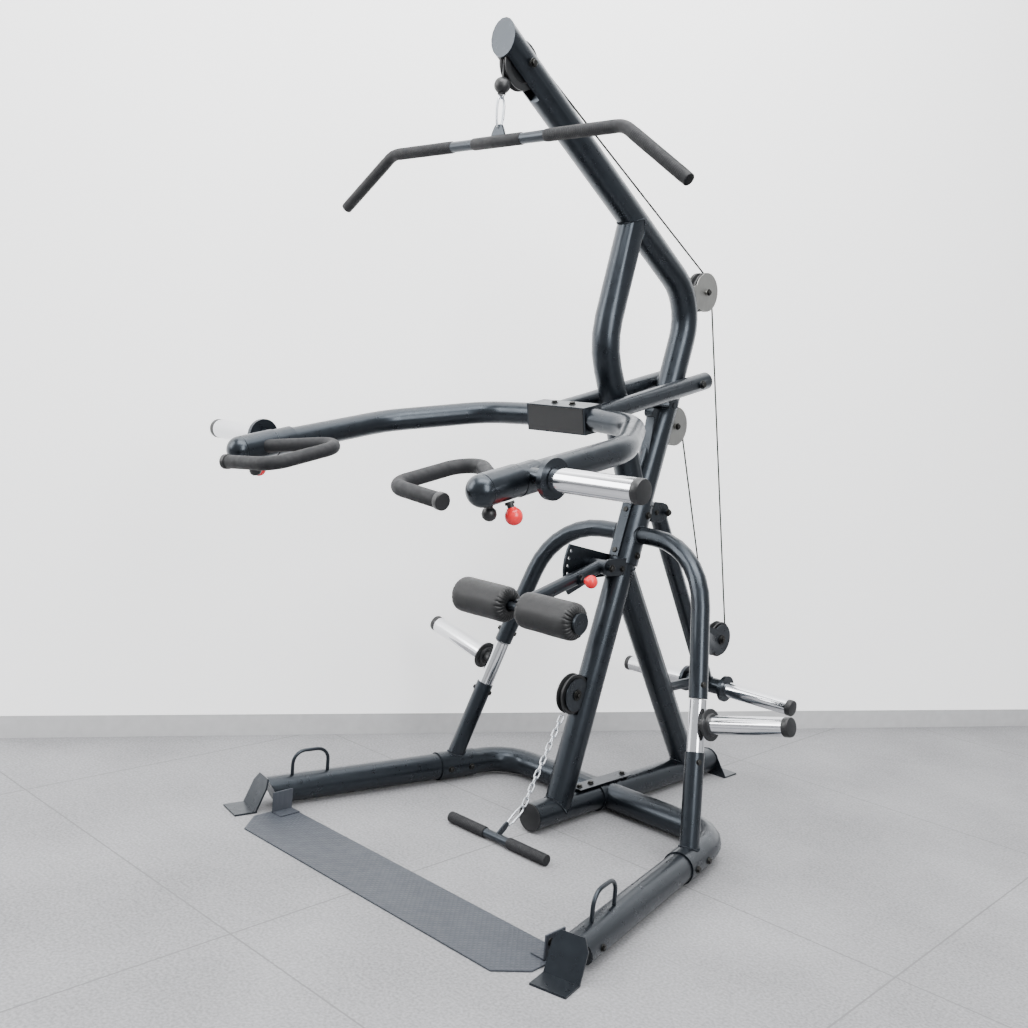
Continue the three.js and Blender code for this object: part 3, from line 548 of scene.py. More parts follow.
def steel_look(name, colour, rough):
    # Plated or bare steel, lightly brushed.
    look = Look(name, Metallic=1.0)
    look.colours(look.noise(35, 4), shade(colour, 0.85), shade(colour, 1.1))
    look.roughness(look.spread(look.noise(160, 4, (1, 1, 0.1)), rough - 0.06, rough + 0.1))
    look.bump(look.noise(400, 2), 0.06, 0.0003)
    return look.material


def rubber_look(settings):
    # Matt moulded rubber with a dusty, slightly uneven surface.
    look = Look("Matt black rubber", Metallic=0.0, Specular_IOR_Level=0.4)
    look.colours(look.noise(25, 5), shade(settings.rubber, 0.8), shade(settings.rubber, 1.3))
    look.roughness(look.spread(look.noise(80, 3), 0.55, 0.72))
    look.bump(look.noise(1200, 2), 0.2, 0.0004)
    return look.material


def vinyl_look(settings):
    # Grained upholstery vinyl: small pebbles with a soft shine.
    look = Look("Grained black vinyl", Metallic=0.0, Coat_Weight=0.1, Coat_Roughness=0.4)
    look.colours(look.noise(18, 4), shade(settings.vinyl, 0.82), shade(settings.vinyl, 1.22))
    look.roughness(look.spread(look.noise(60, 3), 0.42, 0.56))
    cells = look.node("TexVoronoi", Vector=look.place, Scale=620)
    look.bump(cells.outputs["Distance"], 0.35, 0.0005)
    return look.material


def tread_look(settings):
    # Dark grey plate embossed with fine crossing ribs.
    look = Look("Embossed grey tread plate", Metallic=0.15)
    look.colours(look.noise(12, 5), shade(settings.tread, 0.85), shade(settings.tread, 1.2))
    look.roughness(look.spread(look.noise(40, 3), 0.42, 0.58))
    waves = []
    for turn in (0.7, -0.7):
        place = look.node("Mapping", Vector=look.place, Rotation=(0, 0, turn)).outputs["Vector"]
        waves.append(look.node("TexWave", Vector=place, Scale=30).outputs["Fac"])
    look.bump(look.maths("MAXIMUM", *waves), 0.5, 0.0012)
    return look.material


def floor_look(settings):
    # Pale grey rubber tiles: fine speckle, faint scuffs and thin seams.
    look = Look("Pale grey rubber floor", Metallic=0.0)
    look.roughness(look.spread(look.noise(30, 4), 0.65, 0.85))
    scuff = look.spread(look.noise(2.2, 8), 0.0, 1.0)
    speckle = look.spread(look.noise(150, 4), 0.0, 1.0, 0.35, 0.65)
    both = look.maths("MULTIPLY_ADD", speckle, 0.55, look.maths("MULTIPLY", scuff, 0.45))
    seams = look.node("TexBrick", Vector=look.place, Scale=1.0, Brick_Width=1.0, Row_Height=1.0,
                      Mortar_Size=0.0022)
    seams.offset = 0.0
    joined = look.maths("MULTIPLY_ADD", seams.outputs["Fac"], -0.6, both)
    look.colours(joined, shade(settings.floor, 0.62), shade(settings.floor, 1.3))
    look.bump(look.noise(260, 3), 0.3, 0.001)
    return look.material


def wall_look(settings):
    # White painted wall with the faintest roller texture.
    look = Look("White painted wall", Metallic=0.0)
    look.colours(look.noise(1.3, 3), shade(settings.wall, 0.97), settings.wall)
    look.roughness(look.spread(look.noise(6, 2), 0.7, 0.8))
    look.bump(look.noise(150, 3), 0.04, 0.0008)
    look.shader.inputs["Emission Color"].default_value = (1, 1, 1, 1)
    look.shader.inputs["Emission Strength"].default_value = 0.6
    return look.material


LOOKS = {}


# ---- settings ------------------------------------------------------------------------------


def colour(code):
    return FloatVectorProperty(subtype="COLOR", size=3, default=srgb(code))


class GymSettings(bpy.types.PropertyGroup):
    """Colours and sizes of the finishes."""

    coat: colour("07090c")
    chrome: colour("e4e5e8")
    rubber: colour("121316")
    vinyl: colour("090a0c")
    tread: colour("3b3f46")
    guard: colour("9b9b98")
    zinc: colour("c9cdd2")
    knob: colour("e3262e")
    plastic: colour("141517")
    floor: colour("88888a")
    wall: colour("fbfbfb")
    horn_radius: FloatProperty(default=24.0, min=10.0)
    roller_radius: FloatProperty(default=48.0, min=20.0)
    roller_folds: IntProperty(default=26, min=6)
    rib_pitch: FloatProperty(default=5.0, min=2.0)


class GYM_OT_finishes(bpy.types.Operator):
    """Makes every finish that the pieces share"""

    bl_idname = "gym.finishes"
    bl_label = "Finishes"

    def execute(self, context):
        settings = context.scene.gym
        LOOKS.update(
            coat=coat_look(settings),
            chrome=chrome_look(settings),
            rubber=rubber_look(settings),
            vinyl=vinyl_look(settings),
            tread=tread_look(settings),
            guard=steel_look("Satin grey steel plate", settings.guard, 0.42),
            zinc=steel_look("Bright zinc plate", settings.zinc, 0.26),
            knob=plastic_look("Glossy red plastic", settings.knob, 0.2, 300),
            plastic=plastic_look("Black moulded plastic", settings.plastic, 0.42, 800),
            screw=steel_look("Black oxide steel", shade(settings.guard, 0.12), 0.4),
            jacket=plastic_look("Black cable jacket", settings.plastic, 0.35, 500),
        )
        return {"FINISHED"}


# ---- pieces --------------------------------------------------------------------------------


class GYM_OT_tubework(bpy.types.Operator):
    """Coats the welded tubes, plates and brackets, fixed and moving"""

    bl_idname = "gym.tubework"
    bl_label = "Tubework"

    def tread_plate(self):
        """The flat plate between the front feet, with an upright ear and a fold at each end."""
        tread = Shape()
        outline = [(-500, -498), (-500, -610), (-445, -676), (445, -676), (500, -610),
                   (500, -498)]
        tread.slab(outline, Matrix.Identity(4), 4, 0.5)
        on_edge = Matrix.Rotation(math.radians(90), 4, "Y") @ Matrix.Translation((0, 0, -2.5))
        for side in (-1, 1):
            tread.slab([(-58, -31), (0, -31), (0, 31), (-58, 31)],
                       Matrix.Translation((side * 488, -530, 2)) @ on_edge, 5, 0.7)
            tread.slab([(-20, -31), (20, -31), (20, 31), (-20, 31)],
                       Matrix.Translation((side * 470, -530, 2.2)), 5, 0.7)
        hand_over(tread.object("tread_plate_made", LOOKS["tread"]), "frame", "tread",
                  "tread_plate")

    def execute(self, context):
        bodies = frame["record"]["behaviour"]["bodies"]
        slots = {s["node"]: s["material_slot"] for s in frame["record"]["subparts"]}
        rebuilt = ("handle_right", "handle_left", "top_axle")
        for body, nodes in bodies.items():
            for node in nodes:
                if slots[node] == "coated" and node not in rebuilt:
                    hand_over(skin(node, LOOKS["coat"]), body, "coated", node)
        self.tread_plate()
        for node in ("upper_guard", "mid_guard"):
            hand_over(skin(node, LOOKS["guard"], 0.5), "frame", "guard", node)
        axle = Shape()
        axle.tube([TOP_PULLEY + Vector((-48, 0, 0)), TOP_PULLEY + Vector((48, 0, 0))], 6, 24, 0.8)
        hand_over(axle.object("top_axle_pin", LOOKS["screw"]), "frame", "coated", "top_axle")
        return {"FINISHED"}


class GYM_OT_trim(bpy.types.Operator):
    """Adds the blank badge, the end caps of the tubes and the collar's side plates"""

    bl_idname = "gym.trim"
    bl_label = "Badge and caps"

    def execute(self, context):
        badge = Shape()
        face = Matrix.Translation((0, -518, -14)) @ Matrix.Rotation(math.radians(90), 4, "X")
        badge.slab([(-93, -32), (93, -32), (93, 32), (-93, 32)], face, 1.2, 0.5)
        badge.placed(ARM_FRAME)
        hand_over(badge.object("badge", LOOKS["plastic"]), "press_arm", "coated")
        caps = Shape()
        front = Vector((0, -73, 42))
        caps.turned([(0, 0), (36.5, 0), (37.6, -1.2), (37.6, -3.6), (35, -4.4), (0, -4.4)],
                    front, (0, 1, 0))
        hand_over(caps.object("beam_cap", LOOKS["plastic"]), "frame", "coated")
        plates = Shape()
        lean = Matrix.Rotation(-math.atan(COLUMN_LEAN), 4, "X")
        for sign in (-1, 1):
            pad = Matrix.Translation(column_point(806)) @ lean @ Matrix.Translation(
                (-15, sign * 44 - 3, 0)) @ Matrix.Rotation(math.radians(90), 4, "X")
            plates.slab([(0, -76), (30, -76), (30, 76), (0, 76)], pad, -sign * 3.5, 0.7)
        hand_over(plates.object("collar_pads", LOOKS["coat"]), "frame", "coated")
        ends = Shape()
        for side in (-1, 1):
            start = Vector((72 * side, 52, 1.6))
            along = Vector((0, 537, 15.6)).normalized()
            ends.turned([(0, 0), (24, 0), (24.6, 0.8), (24.6, 2.6), (22, 3.8), (0, 4.4)],
                        start, along)
        ends.placed(ARM_FRAME)
        hand_over(ends.object("arm_tube_caps", LOOKS["plastic"]), "press_arm", "coated")
        return {"FINISHED"}


class GYM_OT_horns(bpy.types.Operator):
    """Turns the chromed weight horns, their inserts and their black end caps"""

    bl_idname = "gym.horns"
    bl_label = "Weight horns"

    def horn(self, shape, start, tip, radius):
        along = (tip - start).normalized()
        length = (tip - start).length
        shape.look = 0
        shape.turned([(0, 0), (radius - 0.6, 0), (radius, 0.6), (radius, length - 16),
                      (0, length - 16)], start, along, 64)
        shape.look = 1
        shape.turned([(0, length - 17), (radius + 0.2, length - 17), (radius + 0.5, length - 16),
                      (radius + 0.5, length - 3), (radius - 0.6, length - 0.6),
                      (radius - 3, length), (0, length - 0.2)], start, along, 64)

    def flange(self, shape, start, along):
        """The rubber stop disc and its collar at a horn's root."""
        shape.look = 1
        shape.turned([(0, -0.2), (26, -0.2), (28, 1.2), (28.6, 5.8), (40.6, 6.2), (41.2, 6.8),
                      (41.2, 10.6), (40.4, 11.4), (30, 12), (28.5, 15), (27, 18), (0, 18)],
                     start, along, 64)

    def execute(self, context):
        radius = context.scene.gym.horn_radius
        looks = (LOOKS["chrome"], LOOKS["plastic"])
        for side, end in ((1, "right"), (-1, "left")):
            storage = Shape()
            root, tip = post_point(366), Vector((631, 122, 431))
            along = (tip - root).normalized()
            storage.look = 0
            storage.turned([(0, 0), (21.4, 0), (22, 0.6), (22, 133.6), (21.4, 134.2), (0, 134.2)],
                           post_point(299), POST_RISE, 64)
            storage.look = 1
            storage.turned([(0, 0), (17, 0), (17, 35), (0, 35)], root, along, 40)
            self.flange(storage, root + along * 34, along)
            self.horn(storage, root + along * 46, tip, radius)
            lever = Shape()
            start = LEVER_FOOT + Vector((78.6, 0, 0))
            self.horn(lever, start, LEVER_FOOT + Vector((312, 0, -3)), radius)
            press = Shape()
            start = Vector((493, -1077, 6))
            self.horn(press, start, Vector((701, -1073, 6)), radius)
            press.placed(ARM_FRAME)
            made = (("storage_horn_", storage, "frame"), ("lever_horn_", lever, "lever"),
                    ("press_horn_", press, "press_arm"))
            for name, shape, body in made:
                if side < 0:
                    shape.mirrored()
                node = name + end
                hand_over(shape.object(node + "_turned", *looks), body, "chrome", node)
        return {"FINISHED"}


class GYM_OT_handles(bpy.types.Operator):
    """Bends the press handles: coated sleeve, rubber grip, end cap and clamp knob"""

    bl_idname = "gym.handles"
    bl_label = "Press handles"

    def execute(self, context):
        for side, end, body in ((1, "right", "handle_r"), (-1, "left", "handle_l")):
            shape = Shape()
            shape.look = 0
            dome = [(33 * math.cos(a), 93.7 + 33 * math.sin(a))
                    for a in np.linspace(0, math.pi / 2, 12)]
            dome[-1] = (0, 126.7)
            shape.turned([(0, 0), (32, 0), (33, 1), (33, 30), (33, 60), (33, 90.6), (32, 91.4),
                          (32, 92.6), *dome], (ARM_HALF, -1100.3, 0), (0, -1, 0), 64)
            corners = [(388, -1138, 0), (208, -1005, 0), (202, -1245, -3), (373, -1262, -11)]
            line = bent(corners, [46, 46])
            shape.look = 1
            shape.tube(line, 16, 32, 2.0)
            shape.look = 2
            tail = Vector(corners[-1]) - Vector(corners[-2])
            shape.turned([(0, -14), (17.2, -14), (17.8, -13), (17.8, -2), (16, 0), (0, 0.4)],
                         corners[-1], tail, 40)
            shape.tube([(402, -1168, -28), (398, -1168, -44)], 7, 20)
            shape.turned([(0, -13.8), (8, -12.6), (13.4, -7.6), (15.2, 0), (13.4, 7.6), (8, 12.6),
                          (0, 13.8)], (397, -1168, -54), (0.2, 0, 1), 36)
            shape.placed(ARM_FRAME)
            if side < 0:
                shape.mirrored()
            made = shape.object("handle_" + end + "_bent", LOOKS["coat"], LOOKS["rubber"],
                                LOOKS["plastic"])
            hand_over(made, body, "coated", "handle_" + end)
        return {"FINISHED"}


class GYM_OT_pins(bpy.types.Operator):
    """Turns the spring pins: dark collar and shank with a red ball knob"""

    bl_idname = "gym.pins"
    bl_label = "Spring pins"

    def execute(self, context):
        local = ARM_FRAME.to_3x3()
        places = (
            ("handle_pin_right", "pin_r", ARM_FRAME @ Vector((422, -1136, -33.3)),
             local @ Vector((0.35, 0, -1))),
            ("handle_pin_left", "pin_l", ARM_FRAME @ Vector((-422, -1136, -33.3)),
             local @ Vector((-0.35, 0, -1))),
            ("hold_pin", "pin_hold", Vector((25.3, 25.1, 690)), Vector((1, 0, 0))),
        )
        for node, body, tip, axis in places:
            shape = Shape()
            shape.look = 0
            shape.turned([(0, 0.3), (9.4, 0.3), (10, 0.9), (10, 6), (7, 6.6), (7, 18), (0, 18)],
                         tip, axis, 32)
            shape.look = 1
            ball = [(18 * math.sin(a), 30 - 18 * math.cos(a)) for a in np.linspace(0.6, math.pi, 18)]
            ball[-1] = (0, 48)
            shape.turned([(0, 12.5), (9.4, 12.5), (9.9, 13.4), *ball], tip, axis, 48)
            made = shape.object(node + "_turned", LOOKS["plastic"], LOOKS["knob"])
            hand_over(made, body, "knob", node)
        return {"FINISHED"}


class GYM_OT_pulleys(bpy.types.Operator):
    """Turns the grooved pulleys with recessed webs, and the washers on two of their axles"""

    bl_idname = "gym.pulleys"
    bl_label = "Pulleys"

    def execute(self, context):
        wheels = (("pulley_top", "wheel_top", TOP_PULLEY, 57, 51),
                  ("pulley_upper", "wheel_upper", UPPER_PULLEY, 56, 48),
                  ("pulley_mid", "wheel_mid", MID_PULLEY, 56, 48),
                  ("pulley_lever", "wheel_lever", LEVER_PULLEY, 56, 48),
                  ("pulley_low", "wheel_low", LOW_PULLEY, 56, 48))
        for node, body, centre, rim, wrap in wheels:
            shape = Shape()
            bed = wrap - 3
            half = [(6.5, 11), (15, 11), (16, 10.4), (17, 8.6), (rim - 19, 8.6), (rim - 17, 9.6),
                    (rim - 16, 11), (rim - 1, 11), (rim, 10), (rim, 7.2), (bed + 1, 3.4), (bed, 0)]
            profile = half + [(r, -x) for r, x in half[-2::-1]] + [half[0]]
            shape.turned(profile, centre, (1, 0, 0), 72)
            hand_over(shape.object(node + "_turned", LOOKS["plastic"]), body, "pulley", node)
        washers = (("lever_axle_washers", LEVER_PULLEY, "lever"),
                   ("low_axle_washers", LOW_PULLEY, "frame"))
        for name, centre, body in washers:
            discs = Shape()
            for side in (-1, 1):
                discs.turned([(0, 0), (15, 0), (15.6, 0.6), (15, 2.4), (0, 2.4)],
                             centre + Vector((side * WASHER_OUT, 0, 0)), (side, 0, 0), 40)
            hand_over(discs.object(name, LOOKS["screw"]), body, "coated")
        return {"FINISHED"}


def carabiner(shape, high, low, width, wire):
    """Snap hook from high to low in the plane across X: a pear-shaped loop with a gate."""
    middle = (high + low) / 2
    along = (high - low).normalized()
    across = along.cross(Vector((1, 0, 0))).normalized()
    reach = (high - low).length / 2
    line = []
    for a in np.linspace(0, 2 * math.pi, 56, endpoint=False):
        wide = width * (1.0 + 0.16 * math.sin(a))
        bulge = math.copysign(abs(math.cos(a)) ** 0.75, math.cos(a))
        line.append(middle + across * (wide * bulge)
                    + along * (reach * math.copysign(abs(math.sin(a)) ** 0.9, math.sin(a))))
    shape.ring(line, wire, 16)
    gate_a = middle + across * (width - 0.4) - along * (reach * 0.45)
    gate_b = middle + across * (width + 0.6) + along * (reach * 0.5)
    shape.tube([gate_a, gate_b], wire + 0.5, 16, 0.4)


class GYM_OT_lat_gear(bpy.types.Operator):
    """Bends the lat bar with its grips and makes the ball and snap hook"""

    bl_idname = "gym.lat_gear"
    bl_label = "Lat bar and hook"

    def execute(self, context):
        pitch = context.scene.gym.rib_pitch
        bar = Shape()
        corners = [(-BAR_END, BAR_Y, BAR_TIP_Z), (-BAR_BEND, BAR_Y, BAR_Z),
                   (BAR_BEND, BAR_Y, BAR_Z), (BAR_END, BAR_Y, BAR_TIP_Z)]
        line = bent(corners, [60, 60])
        bar.look = 0
        bar.tube(line, 12.6, 40)
        bar.look = 1
        for side in (-1, 1):
            inner = [Vector((side * 150, BAR_Y, BAR_Z))]
            turn = [p for p in line if p.x * side > 300]
            turn = turn if side > 0 else turn[::-1]
            bar.tube(inner + turn, 14, 40, 1.4)
        bar.tube([(-78, BAR_Y, BAR_Z), (78, BAR_Y, BAR_Z)], 14.2, 40, 1.6)
        bar.look = 0
        face = Matrix.Translation((0, BAR_Y + 3, 0)) @ Matrix.Rotation(math.radians(90), 4, "X")
        half = [(-24, BAR_Z + 6), (24, BAR_Z + 6), (20, BAR_Z + 20), (13, 1779), (9, 1783)]
        bar.slab([*half, (-9, 1783), (-13, 1779), (-20, BAR_Z + 20)], face, 6, 0.8)
        made = bar.object("lat_bar_bent", LOOKS["coat"], LOOKS["rubber"])
        hand_over(made, "bar", "grip", "lat_bar")
        ring = Shape()
        ring.turned([(13.6, -0.9), (14.25, 0), (13.6, 0.9), (12.8, 0.9), (12.8, -0.9),
                     (13.6, -0.9)], (0, 0, 0), (0, 0, 1), 32)
        places = []
        for side in (-1, 1):
            for x in np.arange(156, 350, pitch):
                places.append(((side * x, BAR_Y, BAR_Z), facing((1, 0, 0)), 1.02))
            slope = Vector((BAR_END - BAR_BEND, 0, BAR_TIP_Z - BAR_Z)).normalized()
            for t in np.arange(36, 206, pitch):
                point = Vector((BAR_BEND, BAR_Y, BAR_Z)) + slope * t
                places.append(((side * point.x, BAR_Y, point.z),
                               facing((side * slope.x, 0, slope.z)), 1.02))
        ribs = repeat("lat_bar_ribs", ring.object("grip_rib"), places, LOOKS["rubber"])
        hand_over(ribs, "bar", "grip")
        hook = Shape()
        hook.look = 0
        hook.ball((0, BAR_Y, STOP_Z), 19, 48)
        hook.turned([(0, -4), (9, -4), (10, -2), (8, 2), (0, 3)], (0, BAR_Y, STOP_Z - 17),
                    (0, 0, 1), 32)
        hook.look = 1
        eye = [Vector((6.5 * math.cos(a), BAR_Y, 1848 + 6.5 * math.sin(a)))
               for a in np.linspace(0, 2 * math.pi, 32, endpoint=False)]
        hook.ring(eye, 2.0)
        carabiner(hook, Vector((0, BAR_Y, 1846)), Vector((0, BAR_Y, 1776)), 11, 2.9)
        made = hook.object("lat_hook_made", LOOKS["plastic"], LOOKS["zinc"])
        hand_over(made, "hook", "zinc", "lat_hook")
        return {"FINISHED"}


class GYM_OT_cables(bpy.types.Operator):
    """Finishes the steel cable, hangs its two falls on bodies of their own, and drops a straight run to
    the stop ball
    """

    bl_idname = "gym.cables"
    bl_label = "Cable"

    def execute(self, context):
        for node, body in (("cable_top", "frame"), ("cable_inside", "frame"),
                           ("cable_lever", "lever")):
            hand_over(skin(node, LOOKS["jacket"], 0), body, "jacket", node)
        falls = (
            ("cable_rear_fall", "rear_fall", (0, 532.4, 1522.2), (0, 812.4, 459.2), 0.7085),
            ("cable_front_fall", "front_fall", (0, 441.6, 1133.7), (0, 721.4, 429.3), 0.7786),
        )
        for node, body, high, low, keep in falls:
            made = hand_over(skin(node, LOOKS["jacket"], 0), body, "jacket", node)
            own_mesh(made)
        drop = Shape()
        line = [(0, BAR_Y, z) for z in np.linspace(1928.7, STOP_Z + 19, 12)]
        drop.tube(line, 2.5, 12)
        made = drop.object("cable_drop_run", LOOKS["jacket"])
        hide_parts("cable_drop")
        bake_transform(made)
        return {"FINISHED"}


class GYM_OT_low_gear(bpy.types.Operator):
    """Links the chain of the low pulley and makes its short ribbed bar"""

    bl_idname = "gym.low_gear"
    bl_label = "Low bar and chain"

    def execute(self, context):
        bar = Shape()
        middle = Vector((0, -199, 15.5))
        bar.look = 0
        bar.tube([middle + Vector((-60, 0, 0)), middle + Vector((60, 0, 0))], 12, 32)
        bar.look = 1
        for side in (-1, 1):
            ends = [middle + Vector((side * 42, 0, 0)), middle + Vector((side * 175, 0, 0))]
            bar.tube(ends, 14.6, 40, 1.8)
        bar.look = 0
        side_on = Matrix(((0, 0, 1, -3), (1, 0, 0, 0), (0, 1, 0, 0), (0, 0, 0, 1)))
        bar.slab([(-206, 24), (-196, 12), (-168, 30), (-158, 44), (-166, 52), (-178, 46)],
                 side_on, 6, 0.8)
        made = bar.object("low_bar_made", LOOKS["coat"], LOOKS["rubber"])
        hand_over(made, "low_grip", "grip", "low_bar")
        ring = Shape()
        ring.turned([(14.2, -0.9), (15.0, 0), (14.2, 0.9), (13.4, 0.9), (13.4, -0.9),
                     (14.2, -0.9)], (0, 0, 0), (0, 0, 1), 32)
        places = [((side * x, middle.y, middle.z), facing((1, 0, 0)), 1.0)
                  for side in (-1, 1) for x in np.arange(48, 168, context.scene.gym.rib_pitch)]
        ribs = repeat("low_bar_ribs", ring.object("low_rib"), places, LOOKS["rubber"])
        hand_over(ribs, "low_grip", "grip")
        along = (CHAIN_TOP - CHAIN_END).normalized()
        snap = Shape()
        carabiner(snap, CHAIN_END + along * 18, Vector((0, -166, 40)), 10, 2.6)
        hand_over(snap.object("chain_snap", LOOKS["zinc"]), "low_grip", "zinc")
        link = Shape()
        path = [Vector((6.0 * math.cos(a), 0, 6.0 * math.sin(a) + math.copysign(6.2, math.sin(a))))
                for a in np.linspace(0.01, 2 * math.pi + 0.01, 32, endpoint=False)]
        link.ring(path, 2.3, 12)
        start = CHAIN_END + along * 24
        count = int((CHAIN_TOP - start).length / 19.6)
        step = (CHAIN_TOP - start) / count
        places = [(start + step * (i + 0.4), facing(along, 0.35 + i * math.pi / 2), 1.0)
                  for i in range(count)]
        chain = repeat("low_chain_links", link.object("chain_link"), places, LOOKS["zinc"])
        hand_over(chain, "low_grip", "zinc", "low_chain")
        return {"FINISHED"}


class GYM_OT_rollers(bpy.types.Operator):
    """Covers the foam rollers in vinyl that is gathered at both ends"""

    bl_idname = "gym.rollers"
    bl_label = "Foam rollers"

    def execute(self, context):
        settings = context.scene.gym
        full, folds = settings.roller_radius, settings.roller_folds
        low, high, bore = 22, 206, 12.8
        profile = [(bore, low + 6), (bore + 4, low + 2), (22, low + 1.2), (27, low + 1.4),
                   (31, low + 1.8), (35, low + 2.6), (39, low + 4.2), (42.4, low + 6.6),
                   (45, low + 9.6), (46.8, low + 13), (full - 0.4, low + 17), (full, low + 22)]
        inside = list(np.linspace(low + 29, high - 29, 18))
        body = profile + [(full, x) for x in inside]
        body += [(r, low + high - x) for r, x in reversed(profile)]
        steps = folds * 12
        for side, node, rider in ((1, "roller_right", "roll_r"), (-1, "roller_left", "roll_l")):
            shape = Shape()
            rings = []
            for radius, x in body:
                near = min(x - low, high - x)
                pull = math.exp(-(near / 12.0) ** 2) * min(1.0, max(0.0, (radius - 24) / 8))
                inward = -1 if x > (low + high) / 2 else 1
                ring = []
                for i in range(steps):
                    a = 2 * math.pi * i / steps
                    crease = (1 - abs(math.sin(folds * a / 2 + 0.9 * math.sin(3 * a)))) ** 1.6
                    depth = 3.4 * pull * crease * (0.7 + 0.3 * math.sin(5 * a + side))
                    sway = 0.25 * math.sin(2 * a + x / 31) + 0.2 * math.sin(5 * a - x / 17)
                    r = max(radius - depth + sway - 0.5, bore)
                    ring.append(Vector((x + inward * depth, r * math.cos(a), r * math.sin(a))))
                rings.append(ring)
            shape.loop(rings)
            shape.placed(Matrix.Translation(ROLLER_AXIS))
            if side < 0:
                shape.mirrored()
            made = shape.object(node + "_cover", LOOKS["vinyl"])
            hand_over(made, rider, "foam_cover", node)
        return {"FINISHED"}


class GYM_OT_fasteners(bpy.types.Operator):
    """Sets the hex bolts on the sleeves, brackets and pivots"""

    bl_idname = "gym.fasteners"
    bl_label = "Bolts"

    def fixed(self):
        places = []
        column_axis = (column_point(800) - column_point(100)).normalized()
        for along in (-38, 34):
            point = LEG_ROOT + LEG_DIRECTION * along
            for spot, out in zip(both_sides(point + LEG_SIDE * SLEEVE_BOLT_OUT), both_sides(LEG_SIDE)):
                places.append((spot, facing(out, along), 1.0))
            for spot, out in zip(both_sides(point - LEG_SIDE * SLEEVE_BOLT_OUT), both_sides(-LEG_SIDE)):
                places.append((spot, facing(out, along), 1.0))
        outward = POST_RISE.cross(Vector((0.86, -0.5, 0))).normalized().cross(POST_RISE).normalized()
        for z in (276, 462):
            for sign in (-1, 1):
                spot = post_point(z) + outward * (24.6 * sign)
                for p, out in zip(both_sides(spot), both_sides(outward * sign)):
                    places.append((p, facing(out, z), 0.8))
        for z in (COLLAR_LOW, COLLAR_HIGH):
            for sign in (-1, 1):
                places.append((column_point(z) + Vector((43.6 * sign, 0, 0)),
                               facing((sign, 0, 0), z), 1.1))
        front = column_axis.cross(Vector((1, 0, 0))).normalized()
        for z in (COLLAR_LOW, COLLAR_HIGH):
            for sign in (-1, 1):
                places.append((column_point(z) + front * (47 * sign), facing(front * sign, z), 1.1))
        for y in (128, 178, 324):
            places.append((Vector((0, y, 86.2)), facing((0, 0, 1), y), 1.0))
        for y in (-546, -514):
            for spot, out in zip(both_sides((490.6, y, 42)), both_sides((1, 0, 0))):
                places.append((spot, facing(out, y), 0.9))
        side = LEG_ROOT + LEG_DIRECTION * 545
        for spot, out in zip(both_sides(side + LEG_SIDE * 37.8), both_sides(LEG_SIDE)):
            places.append((spot, facing(out, 1), 0.9))
        for sign in (-1, 1):
            across = Vector((sign, 0, 0))
            places += [
                (HOLD_PIVOT + across * PIVOT_BOLT_OUT, facing(across), 1.1),
                (Vector((33 * sign, 186, 712)), facing(across, 1), 0.9),
                (LEVER_PIVOT + across * PIVOT_BOLT_OUT, facing(across, 2), 1.1),
                (Vector((33 * sign, 322, 868)), facing(across, 1), 0.8),
                (UPPER_PULLEY + across * GUARD_BOLT_OUT, facing(across, 3), 1.0),
                (MID_PULLEY + across * GUARD_BOLT_OUT, facing(across, 4), 1.0),
                (LOW_PULLEY + across * 21.6, facing(across, 5), 1.0),
                (TOP_PULLEY + across * 45.0, facing(across, 6), 1.1),
            ]
        return places

    def execute(self, context):
        made = repeat("frame_bolts", bolt_head(), self.fixed(), LOOKS["screw"])
        hand_over(made, "frame", "coated")
        pivot = [(ARM_PIVOT + Vector((s * 100, 0, 0)), facing((s, 0, 0)), 1.25) for s in (-1, 1)]
        local = ARM_FRAME.to_3x3()
        for x in (-30, 30):
            for sign in (-1, 1):
                pivot.append((ARM_FRAME @ Vector((x, -484, -14 + 34.8 * sign)),
                              facing(local @ Vector((0, 0, sign)), x), 1.0))
        made = repeat("arm_bolts", bolt_head(), pivot, LOOKS["screw"])
        hand_over(made, "press_arm", "coated")
        axle = [(LEVER_PULLEY + Vector((s * 21.6, 0, 0)), facing((s, 0, 0)), 1.0)
                for s in (-1, 1)]
        hand_over(repeat("lever_bolts", bolt_head(), axle, LOOKS["screw"]), "lever", "coated")
        return {"FINISHED"}


